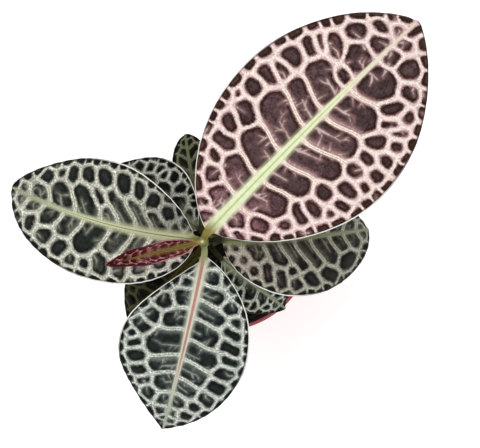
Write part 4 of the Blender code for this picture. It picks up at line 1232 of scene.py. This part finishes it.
class Net:
    """The cells of one half of a blade: bars beside the midrib, and discs farther out."""

    def __init__(self, blade, side):
        self.blade = blade
        self.side = side
        self.leaf = leaf = blade.leaf
        self.draw = random.Random(leaf.seed * 2 + (side > 0))
        self.roots = leaf.left_roots if side > 0 else leaf.right_roots
        self.sweep = leaf.sweep[side < 0]
        self.sharp = SHARPNESS / leaf.hem[0]
        self.cells = []
        self.add_bars()
        self.bars = len(self.cells)
        self.split_bars()
        self.inner = len(self.cells)
        self.add_hem()
        self.fixed = len(self.cells)  # the cells before this number don't move
        self.add_discs()
        self.fill()
        self.sizes = self.relax()
        self.sizes[self.inner:self.fixed] *= MARGIN_VEIN
        self.lines = self.draw_twigs()

    def first_reach(self, s):
        """Share of the half-width that the cells beside the midrib take up."""
        return FIRST_CELL_REACH * (1 - REACH_FADE * ease(s / self.blade.length, 0.5, 0.85))

    def lean(self, t, reach):
        """How far a side vein has come towards the tip at a distance out."""
        share = t / max(reach, 1.0)
        return self.sweep * (VEIN_LEAN + VEIN_CURVE * share) * t

    def add_bars(self):
        """One long round-ended cell between each two side veins."""
        blade = self.blade
        places = [root * blade.length for root in self.roots]
        first = max(0.0, 2 * places[0] - places[1])
        last = min(blade.length, 2 * places[-1] - places[-2])
        places = [first, *places, last]
        for low, high in zip(places, places[1:]):
            middle, space = (low + high) / 2, high - low
            rib = float(blade.rib_width(middle))
            full = float(self.first_reach(middle) * blade.half_width(self.side, middle))
            reach = full * self.draw.uniform(*BAR_REACH)
            slope = self.sweep * (VEIN_LEAN + VEIN_CURVE)
            radius = min(space / math.hypot(1.0, slope), reach) / 2
            inner, outer = rib + radius * BAR_INSET, max(rib + reach - radius, rib + radius)
            inner = min(inner, outer)
            line = [np.array([middle + self.lean(t, full), t])
                    for t in np.linspace(inner, outer, BAR_POINTS)]
            self.cells.append((line, radius))

    def split_bars(self):
        """Cut some of the long cells in two."""
        for index, (line, radius) in enumerate(self.cells[:self.bars]):
            long = math.dist(line[0], line[-1])
            if long > SPLIT_LENGTH * radius and self.draw.random() < SPLIT_SHARE:
                cut = line[0] + (line[-1] - line[0]) * self.draw.uniform(*SPLIT_PLACE)
                back = unit(line[0] - line[-1]) * radius
                self.cells[index] = ([line[0], cut + back], radius)
                self.cells.append(([cut - back, line[-1]], radius))

    def row(self, share, spacing, inset=0.0, jitter=ROW_JITTER):
        """Even places along a line between the first cells, at 0, and the margin, at 1."""
        blade = self.blade
        walk = []
        for s in np.linspace(0.0, blade.length, ROW_STEPS + 1):
            inner = float(self.first_reach(s))
            outward = inner + (1 - inner) * share
            walk.append((s, outward * float(blade.half_width(self.side, s)) - inset))
        length = sum(math.dist(a, b) for a, b in zip(walk, walk[1:]))
        count = max(2, round(length / spacing))
        places = []
        passed = 0.0
        wanted = length / count * (0.5 + self.draw.uniform(-jitter, jitter))
        for a, b in zip(walk, walk[1:]):
            passed += math.dist(a, b)
            if passed >= wanted:
                places.append((b, unit(np.subtract(b, a))))
                wanted += length / count * (1 + self.draw.uniform(-jitter, jitter))
        return places

    def add_hem(self):
        """A row of small flat cells along the margin."""
        spacing, radius, inset = self.leaf.hem
        for place, ahead in self.row(1.0, spacing, inset, HEM_JITTER):
            clear = place[1] - self.blade.rib_width(place[0])
            if clear > radius / 2 and place[0] > HEM_START * self.blade.length:
                wide = radius * self.draw.uniform(*HEM_RADIUS)
                half = ahead * max(0.0, spacing / 2 - wide) * self.draw.uniform(*HEM_LENGTH)
                self.cells.append(([place - half, place + half], wide))

    def add_discs(self):
        """Rows of oval cells, uneven in size, that lean towards the tip."""
        for share, spacing in self.leaf.rows:
            for place, ahead in self.row(share, spacing):
                jitter = CELL_JITTER * spacing
                place = np.array(place) + [self.draw.uniform(-jitter, jitter),
                                           self.draw.uniform(-jitter, jitter) / 2]
                radius = spacing * self.draw.uniform(*DISC_RADIUS)
                outward = np.array([-ahead[1], ahead[0]])
                way = unit(outward + ahead * self.draw.uniform(*DISC_LEAN))
                half = way * spacing * self.draw.uniform(*DISC_STRETCH)
                clear = min(self.away(cell, place[None])[0][0] for cell in self.cells)
                if clear > CELL_CLEAR * spacing and place[1] > self.blade.rib_width(place[0]):
                    self.cells.append(([place - half, place + half], radius))

    def grid(self):
        """Places all over this half of the blade."""
        blade = self.blade
        widest = max(blade.leaf.left[0], blade.leaf.right[0])
        s, t = np.meshgrid(np.arange(0.0, blade.length, RELAX_GRAIN),
                           np.arange(0.0, widest, RELAX_GRAIN))
        inside = (t < blade.half_width(self.side, s)) & (t > blade.rib_width(s))
        return np.stack([s[inside], t[inside]], axis=-1)

    def fill(self):
        """Round cells in the widest spots that no cell has taken."""
        places = self.grid()
        free = np.min([self.away(cell, places)[0] for cell in self.cells], axis=0)
        edge = self.blade.half_width(self.side, places[:, 0]) - places[:, 1]
        free = np.minimum(free, edge)
        for _ in range(SPARE_CELLS):
            widest = int(np.argmax(free))
            if free[widest] < LEAST_GAP * self.leaf.hem[0]:
                break
            cell = ([places[widest], places[widest]], free[widest])
            self.cells.append(cell)
            free = np.minimum(free, self.away(cell, places)[0])

    def relax(self):
        """Even out the ovals, drop the smallest, and give the size of every cell."""
        places = self.grid()
        for step in range(RELAX_STEPS + 1):
            away = np.stack([self.away(cell, places)[0] for cell in self.cells], axis=1)
            own = np.argmin(away, axis=1)
            area = np.bincount(own, minlength=len(self.cells)) * RELAX_GRAIN ** 2
            sizes = np.sqrt(area / math.pi)
            if step == RELAX_STEPS:
                break
            moved = self.cells[:self.fixed]
            for index in range(self.fixed, len(self.cells)):
                line, radius = self.cells[index]
                if sizes[index] > SMALLEST_CELL * self.leaf.hem[0]:
                    shift = places[own == index].mean(axis=0) - (line[0] + line[-1]) / 2
                    fitted = self.oval_radius(area[index], math.dist(line[0], line[-1]))
                    moved.append(([point + shift for point in line], (radius + fitted) / 2))
            self.cells = moved
        return np.maximum(sizes, SMALLEST_CELL * self.leaf.hem[0])

    @staticmethod
    def oval_radius(area, length):
        """Radius of the round-ended bar of a length that fills an area."""
        return (math.sqrt(length ** 2 + math.pi * area) - length) / math.pi

    @staticmethod
    def away(cell, places):
        """Distance from places to a cell's round-ended bar, and the way there."""
        line, radius = cell
        best = np.full(len(places), NOWHERE)
        way = np.zeros((len(places), 2))
        for a, b in zip(line, line[1:]):
            along = b - a
            share = np.clip((places - a) @ along / max(along @ along, 1e-9), 0.0, 1.0)
            step = places - (a + share[:, None] * along)
            length = np.linalg.norm(step, axis=1)
            nearer = length < best
            best[nearer] = length[nearer]
            way[nearer] = step[nearer] / np.maximum(length[nearer], 1e-6)[:, None]
        return best - radius, way

    def gaps(self, s, t):
        """Closeness to veins, own cell, and distances to veins.

        These are the nearest vein, the nearest side vein, and for a bar the veins at
        its lower and its upper side.
        """
        places = np.stack([s, t], axis=-1)
        found = [self.away(cell, places) for cell in self.cells]
        away = np.stack([item[0] for item in found], axis=1)
        way = np.stack([item[1] for item in found], axis=1)
        rows = np.arange(len(places))
        own = np.argmin(away, axis=1)
        gap = self.to_bisector(away, way, rows, own)
        total = np.exp(-self.sharp * np.minimum(gap, VEIN_REACH)).sum(axis=1)
        total += np.exp(-self.sharp * (OVAL_SLACK - away[rows, own]))
        bar_away, bar_way = away[:, :self.bars], way[:, :self.bars]
        bar = np.argmin(bar_away, axis=1)
        side_gap = self.to_bisector(bar_away, bar_way, rows, bar)
        before = np.clip(own - 1, 0, None)
        foot = np.where((own > 0) & (own < self.bars), gap[rows, before], NOWHERE)
        after = np.clip(own + 1, None, gap.shape[1] - 1)
        head = np.where(own < self.bars - 1, gap[rows, after], NOWHERE)
        return total, own, gap.min(axis=1), side_gap.min(axis=1), foot, head

    @staticmethod
    def to_bisector(away, way, rows, own):
        """Distances from places to the lines midway between their own cell and the others."""
        near = away[rows, own][:, None]
        turn = np.linalg.norm(way - way[rows, own][:, None, :], axis=2)
        gap = (away - near) / np.maximum(turn, LEAST_TURN)
        gap[rows, own] = NOWHERE
        return gap

    def maps(self, s, t, rib_gap):
        """Values at places on the blade, for the maps that the finish reads."""
        total, own, core_gap, side_gap, foot_gap, head_gap = self.gaps(s, t)
        total = total + np.exp(-self.sharp * (rib_gap + RIB_ROOM))
        draw = random.Random(self.leaf.seed + self.side)
        tints = np.array([draw.random() for _ in self.cells])
        hazes = np.array([draw.uniform(*HAZE_CHANGE) for _ in self.cells])
        foot = np.exp(-(np.maximum(foot_gap, 0.0) / HAZE_REACH) ** 2)
        head = np.exp(-(np.maximum(head_gap, 0.0) / LEE_REACH) ** 2)
        first = self.first_reach(s) * self.blade.half_width(self.side, s)
        return {"vein_gap": np.clip(-np.log(total) / self.sharp, DEEPEST, FAR),
                "core_gap": np.minimum(core_gap, FAR),
                "side_gap": np.minimum(side_gap, FAR),
                "cell_size": self.sizes[own],
                "twig_gap": segment_gap(np.stack([s, t], axis=-1), *self.lines),
                "haze": hazes[own] * (foot - head),
                "tint": tints[own],
                "reach": np.clip(rib_gap / np.maximum(first, 0.5), 0, 2)}

    def draw_twigs(self):
        """Free-ending veinlets, as starts, ends and half-widths of short lines."""
        lines = []
        for line, radius in self.cells[:self.bars]:
            if radius > SMALLEST_TREE:
                self.draw_tree(line, radius, lines)
        for line, radius in self.cells[self.bars:]:
            if self.draw.random() < SPUR_SHARE:
                self.draw_spur(line, radius, lines)
        lines.append(OFF_LEAF)  # so that the list is never empty
        return [np.array(column) for column in zip(*lines)]

    def draw_tree(self, line, radius, lines):
        """A veinlet from the midrib up the middle of a bar, with side twigs and spurs."""
        start, end = line[0] - [0.0, radius * TREE_FOOT], line[-1]
        length = np.linalg.norm(end - start) * self.draw.uniform(*TREE_LENGTH)
        ahead = unit(end - start)
        aside = np.array([-ahead[1], ahead[0]])
        thick = TWIG_WIDTH * min(1.0, radius / FULL_TREE)
        steps = max(2, int(length / TWIG_STEP))
        offset = self.draw.uniform(-TREE_ASIDE, TREE_ASIDE) * radius
        before = start + aside * offset
        for index in range(steps):
            offset += self.draw.uniform(-TREE_SWERVE, TREE_SWERVE)
            offset = min(max(offset, -TREE_STRAY * radius), TREE_STRAY * radius)
            here = start + ahead * length * (index + 1) / steps + aside * offset
            width = thick * (1 - TREE_TAPER * index / steps)
            lines.append((before, here, width, width * NARROWER[0]))
            if self.draw.random() < TWIG_SHARE:
                way = aside * self.draw.choice((-1, 1)) + ahead * self.draw.uniform(*TWIG_LEAN)
                long = self.draw.uniform(*TWIG_LENGTH) * radius
                self.draw_branch(here, unit(way), long, width * NARROWER[0], lines)
            before = here
        for _ in range(self.draw.choice(SIDE_TWIGS)):
            foot = start + (end - start) * self.draw.uniform(0.25, 1.0)
            side = self.draw.choice((-1, 1))
            way = unit(-aside * side + ahead * self.draw.uniform(*SIDE_TWIG_LEAN))
            self.draw_branch(foot + aside * side * radius * SIDE_TWIG_START, way,
                             radius * self.draw.uniform(*SIDE_TWIG_LENGTH), TWIG_WIDTH, lines)

    def draw_branch(self, start, way, long, thick, lines):
        """A bent twig that may fork."""
        bend = start + way * long * 0.5
        swerve = self.draw.uniform(-BRANCH_SWERVE, BRANCH_SWERVE)
        swerve = np.array([-way[1], way[0]]) * swerve
        end = bend + unit(way + swerve) * long * 0.5
        lines.append((start, bend, thick, thick * NARROWER[1]))
        lines.append((bend, end, thick * NARROWER[1], POINTED))
        if self.draw.random() < FORK_SHARE:
            fork = bend + unit(way - FORK[0] * swerve) * long * FORK[1]
            lines.append((bend, fork, thick * FORK[2], POINTED))

    def draw_spur(self, line, radius, lines):
        """A short veinlet from a cell's edge towards its middle."""
        turn = self.draw.uniform(0, math.tau)
        way = np.array([math.cos(turn), math.sin(turn)])
        middle = (line[0] + line[-1]) / 2
        elbow = middle + way * radius * self.draw.uniform(*SPUR_ELBOW)
        lines.append((middle + way * radius * SPUR_START, elbow, TWIG_WIDTH,
                      TWIG_WIDTH * NARROWER[1]))
        swerve = self.draw.uniform(-SPUR_SWERVE, SPUR_SWERVE)
        swerve = np.array([-way[1], way[0]]) * swerve * radius
        lines.append((elbow, middle + swerve, TWIG_WIDTH * NARROWER[1], POINTED))


# One leaf as a fine closed sheet

class Sheet:
    """Upper and lower faces of a leaf, with the maps that its finish reads."""

    def __init__(self, leaf):
        self.leaf = leaf
        self.blade = Blade(leaf)
        step = (LONG_STEP if self.blade.length > LONG_LEAF else STEP) / detail
        widest = max(leaf.left[0], leaf.right[0])
        self.rows = 2 * round(self.blade.length / step / 2)
        self.columns = RIB_COLUMNS + round(widest / step)
        halves = [self.half(side) for side in (1, -1)]
        self.fields = {}
        for label in halves[0]:
            left, right = halves[0][label], halves[1][label]
            self.fields[label] = np.concatenate([left[:, :0:-1], right], axis=1)

    def half(self, side):
        """Everything known at the grid's points on one side of the midrib."""
        blade = self.blade
        s = np.linspace(0.0, blade.length, self.rows + 1)
        end = np.sqrt(np.clip(1 - ease(s / blade.length, TIP_START, 1.0) ** 2, TIP_END, 1.0))
        rib = blade.rib_width(s) * end
        width = np.maximum(blade.half_width(side, s), rib + LEAST_BLADE)
        inner = np.linspace(0, 1, RIB_COLUMNS + 1)
        outer = np.linspace(0, 1, self.columns - RIB_COLUMNS + 1)[1:]
        t = np.concatenate([rib[:, None] * inner, rib[:, None] + (width - rib)[:, None] * outer],
                           axis=1)
        s, rib, width = (np.broadcast_to(line[:, None], t.shape) for line in (s, rib, width))
        maps = Net(blade, side).maps(s.ravel(), t.ravel(), (t - rib).ravel())
        known = {label: values.reshape(t.shape) for label, values in maps.items()}
        up = blade.frame(s / blade.length)[3]
        share = np.clip(t / rib, 0.0, 1.0)[..., None]
        known.update({
            "point": blade.point(side, s, t),
            "normal": unit(blade.normal(side, s, t) * share + up * (1 - share)),
            "rib_gap": t - rib,
            "rib_share": np.clip(t / rib, 0.0, 3.0),
            "edge_gap": np.minimum(width - t, FAR),
            "edge_share": t / width,
            "along": s / blade.length,
            "base_glow": np.full(t.shape, self.leaf.base_glow[side < 0]),
        })
        return known

    def faces_of_grid(self):
        """Fine quads above, coarser quads below, and a band between them."""
        across = 2 * self.columns + 1
        index = np.arange((self.rows + 1) * across).reshape(self.rows + 1, across)
        below_rows, below_across = self.rows // 2 + 1, self.columns + 1
        below = index.size + np.arange(below_rows * below_across).reshape(below_rows, below_across)
        quads = np.stack([index[:-1, :-1], index[:-1, 1:], index[1:, 1:], index[1:, :-1]], axis=-1)
        under = np.stack([below[:-1, :-1], below[1:, :-1], below[1:, 1:], below[:-1, 1:]], axis=-1)
        faces = quads.reshape(-1, 4).tolist() + under.reshape(-1, 4).tolist()
        ring, low_ring = border(index), border(below)
        for k in range(0, len(ring), 2):
            after = (k + 2) % len(ring)
            faces.append((ring[after], ring[k + 1], ring[k], low_ring[k // 2],
                          low_ring[(k // 2 + 1) % len(low_ring)]))
        return faces

    def relief(self):
        """Heights of the upper and the lower face above the plain blade."""
        f = self.fields
        gap = f["vein_gap"]
        raised = CELL_RAISE * ease(gap, *CELL_FOOT) + CELL_DOME * ease(gap, *CELL_TOP)
        inside = ease(f["edge_gap"], 0.0, MARGIN_REACH)
        raised = raised * (MARGIN_RELIEF + (1 - MARGIN_RELIEF) * inside)
        twig = np.exp(-(np.maximum(f["twig_gap"], 0) / TWIG_GROOVE[1]) ** 2)
        raised = raised - TWIG_GROOVE[0] * twig * (gap > TWIG_GROOVE[2])
        height, size, full = UNDULATION
        waver = height * lumps(f["point"], size, self.leaf.seed)
        raised = raised + waver * ease(f["rib_gap"], 0, full)
        x = np.clip(f["rib_share"], 0, 1)
        dome = np.sqrt(np.clip(1 - x * x, 0, 1))
        groove = GROOVE[0] * np.exp(-(x / GROOVE[1]) ** 2)
        upper = np.where(x < 1, RIB_RISE * dome - groove, raised)
        thick = BLADE_THICK + (MARGIN_THICK - BLADE_THICK) * f["edge_share"] ** 4
        keel = np.sqrt(np.clip(1 - (f["rib_share"] / KEEL[0]) ** 2, 0, 1))
        depth = (KEEL[1] + self.leaf.ridge * (1 - f["along"])) * keel
        lower = UNDER_RELIEF * raised * (x >= 1) - thick - depth
        return upper, lower

    def build(self, finish):
        f = self.fields
        upper, lower = self.relief()
        top = (f["point"] + f["normal"] * upper[..., None]).reshape(-1, 3)
        bottom = (f["point"] + f["normal"] * lower[..., None])[::2, ::2].reshape(-1, 3)
        stalk, stalk_faces, stalk_maps = self.petiole()
        start = len(top) + len(bottom)
        faces = self.faces_of_grid()
        faces += [tuple(corner + start for corner in face) for face in stalk_faces]
        maps = {"under": np.repeat([0.0, 1.0, 0.0], [len(top), len(bottom), len(stalk)])}
        for label, value in {**LEAF_MAPS, **stalk_maps}.items():
            maps[label] = np.concatenate([f[label].ravel(), f[label][::2, ::2].ravel(),
                                          np.broadcast_to(value, len(stalk))])
        add_piece(self.leaf.name + "_blade", np.concatenate([top, bottom, stalk]), faces, maps,
                  finish, self.leaf.name)

    def petiole(self):
        """The stalk from inside the midrib's foot to the stem, channelled above."""
        start, along, across, _ = self.blade.frame(0.0)
        height = start[2] - self.leaf.fall
        axis = stem_axis(height)
        outward = unit(np.array([start[0] - axis[0], start[1] - axis[1], 0.0]))
        end = axis + outward * (stem_radius(height) - STALK_SINK)
        span = float(np.linalg.norm(start - end))
        handle = start - along * span * PETIOLE_SWEEP
        level = np.array([-outward[1], outward[0], 0.0])
        level = level if level @ across > 0 else -level
        overlap = PETIOLE_OVERLAP / span
        shares = np.linspace(-overlap, 1.0, int((span + PETIOLE_OVERLAP) / PETIOLE_STEP) + 2)
        rings = []
        for share in shares:
            rest = 1 - share
            if share < 0:
                point, ahead, side = start - along * share * span, -along, across
            else:
                point = rest ** 2 * start + 2 * share * rest * handle + share ** 2 * end
                ahead = -unit(2 * rest * (start - handle) + 2 * share * (handle - end))
                side = unit(across * rest + level * share)
            lift = unit(np.cross(side, ahead))
            lift = lift if lift[2] > 0 else -lift
            aside, rise = self.stalk_section(share, overlap)
            rings.append(point + side * aside[:, None] + lift * rise[:, None])
        verts, faces = join_rings(rings)
        first, second = rings[:2]
        facing = np.cross(first[1] - first[0], first[2] - first[1])
        if facing @ (second[0] - first[0]) < 0:
            faces = [tuple(reversed(face)) for face in faces]
        along = np.repeat(-shares * span / self.blade.length, PETIOLE_SIDES)
        rib_share = np.tile(np.abs(np.cos(circle(PETIOLE_SIDES))), len(rings))
        return verts, faces, {"along": along, "rib_share": rib_share}

    def stalk_section(self, share, overlap):
        """Places round the stalk, aside and up from its middle, at a share of its length."""
        leaf = self.leaf
        turn = circle(PETIOLE_SIDES)
        sine, cosine = np.sin(turn), np.cos(turn)
        inside = float(ease(share, 0.0, -overlap))
        free = float(ease(share, 0.0, STALK_ROUND))
        width = leaf.rib + (min(PETIOLE_WIDTH, leaf.rib) - leaf.rib) * max(share, 0.0)
        flare = STALK_FLARE * float(ease(share, FLARE_START, 1.0))
        width = width * (1 - STALK_NARROW * inside) * (1 + flare)
        half = 0.5 * PETIOLE_DEPTH
        above = RIB_RISE + (STALK_TOP * half - RIB_RISE) * free - STALK_SINKS[0] * inside
        below = (BLADE_THICK + leaf.ridge) * (1 - free) + half * free - STALK_SINKS[1] * inside
        rise = np.where(sine > 0, sine * above, sine * below)
        groove = PETIOLE_GROOVE[0] * free * np.exp(-(cosine / PETIOLE_GROOVE[1]) ** 2)
        return cosine * width, rise - groove * (sine > 0)


def border(index):
    """Numbers round the edge of a grid, in order."""
    return (list(index[0, :-1]) + list(index[:-1, -1]) + list(index[-1, :0:-1])
            + list(index[:0:-1, 0]))


# Surroundings

def make_floor():
    """A pale, faintly uneven floor, which isn't part of the plant."""
    finish, w = new_finish("floor_paper")
    w.dress(0.1, Base_Color=w.mix(w.noise(0.004), "#fbfbfa", "#fefefd"), Roughness=0.9,
            Emission_Color="#ffffff", Emission_Strength=FLOOR_GLOW)
    bpy.ops.mesh.primitive_plane_add(size=FLOOR_SIZE, location=(0, 0, 0))
    floor = bpy.context.object
    floor.name = "floor"
    floor.data.materials.append(finish)


def make_lights():
    """Soft light from all round, and two large lamps above."""
    world = bpy.data.worlds.new("studio")
    world.use_nodes = True
    sky = world.node_tree.nodes["Background"]
    sky.inputs["Color"].default_value = (1.0, 1.0, 1.0, 1.0)
    sky.inputs["Strength"].default_value = SKY_LIGHT
    bpy.context.scene.world = world
    for name, (place, power) in LAMPS.items():
        lamp = add_object(name, bpy.data.lights.new(name, "AREA"))
        lamp.data.size = LAMP_SIZE
        lamp.data.energy = power
        lamp.location = place
        x, y, z = np.array(LAMP_AIM) - np.array(place)
        lamp.rotation_euler = (math.atan2(math.hypot(x, y), -z), 0.0,
                               math.atan2(y, x) - math.pi / 2)


def make_camera():
    """The photograph's view, from straight above the crown."""
    camera = add_object("camera", bpy.data.cameras.new("camera"))
    camera.location = [c * MM for c in CAMERA_PLACE]
    camera.data.sensor_width = SENSOR
    camera.data.lens = SENSOR * FOCAL_PIXELS / PHOTO_WIDTH
    camera.data.clip_end = 20.0
    bpy.context.scene.camera = camera
    bpy.context.scene.view_settings.view_transform = "Standard"


def main():
    make_floor()
    make_lights()
    make_camera()
    mottle = mottle_group()
    paint = leaf_paint_group(ragged_line_group(), mottle)
    make_pot(pot_finish(mottle))
    make_soil(soil_finish("soil", "#17110d", "#33271e", mottle))
    make_crumbs(soil_finish("soil_crumbs", "#1d1611", "#5a4433", mottle))
    make_stem(stem_finish(mottle))
    finishes = {name: leaf_finish("leaf_" + name, palette, paint)
                for name, palette in PALETTES.items()}
    for leaf in LEAVES:
        Sheet(leaf).build(finishes[leaf.palette])


main()
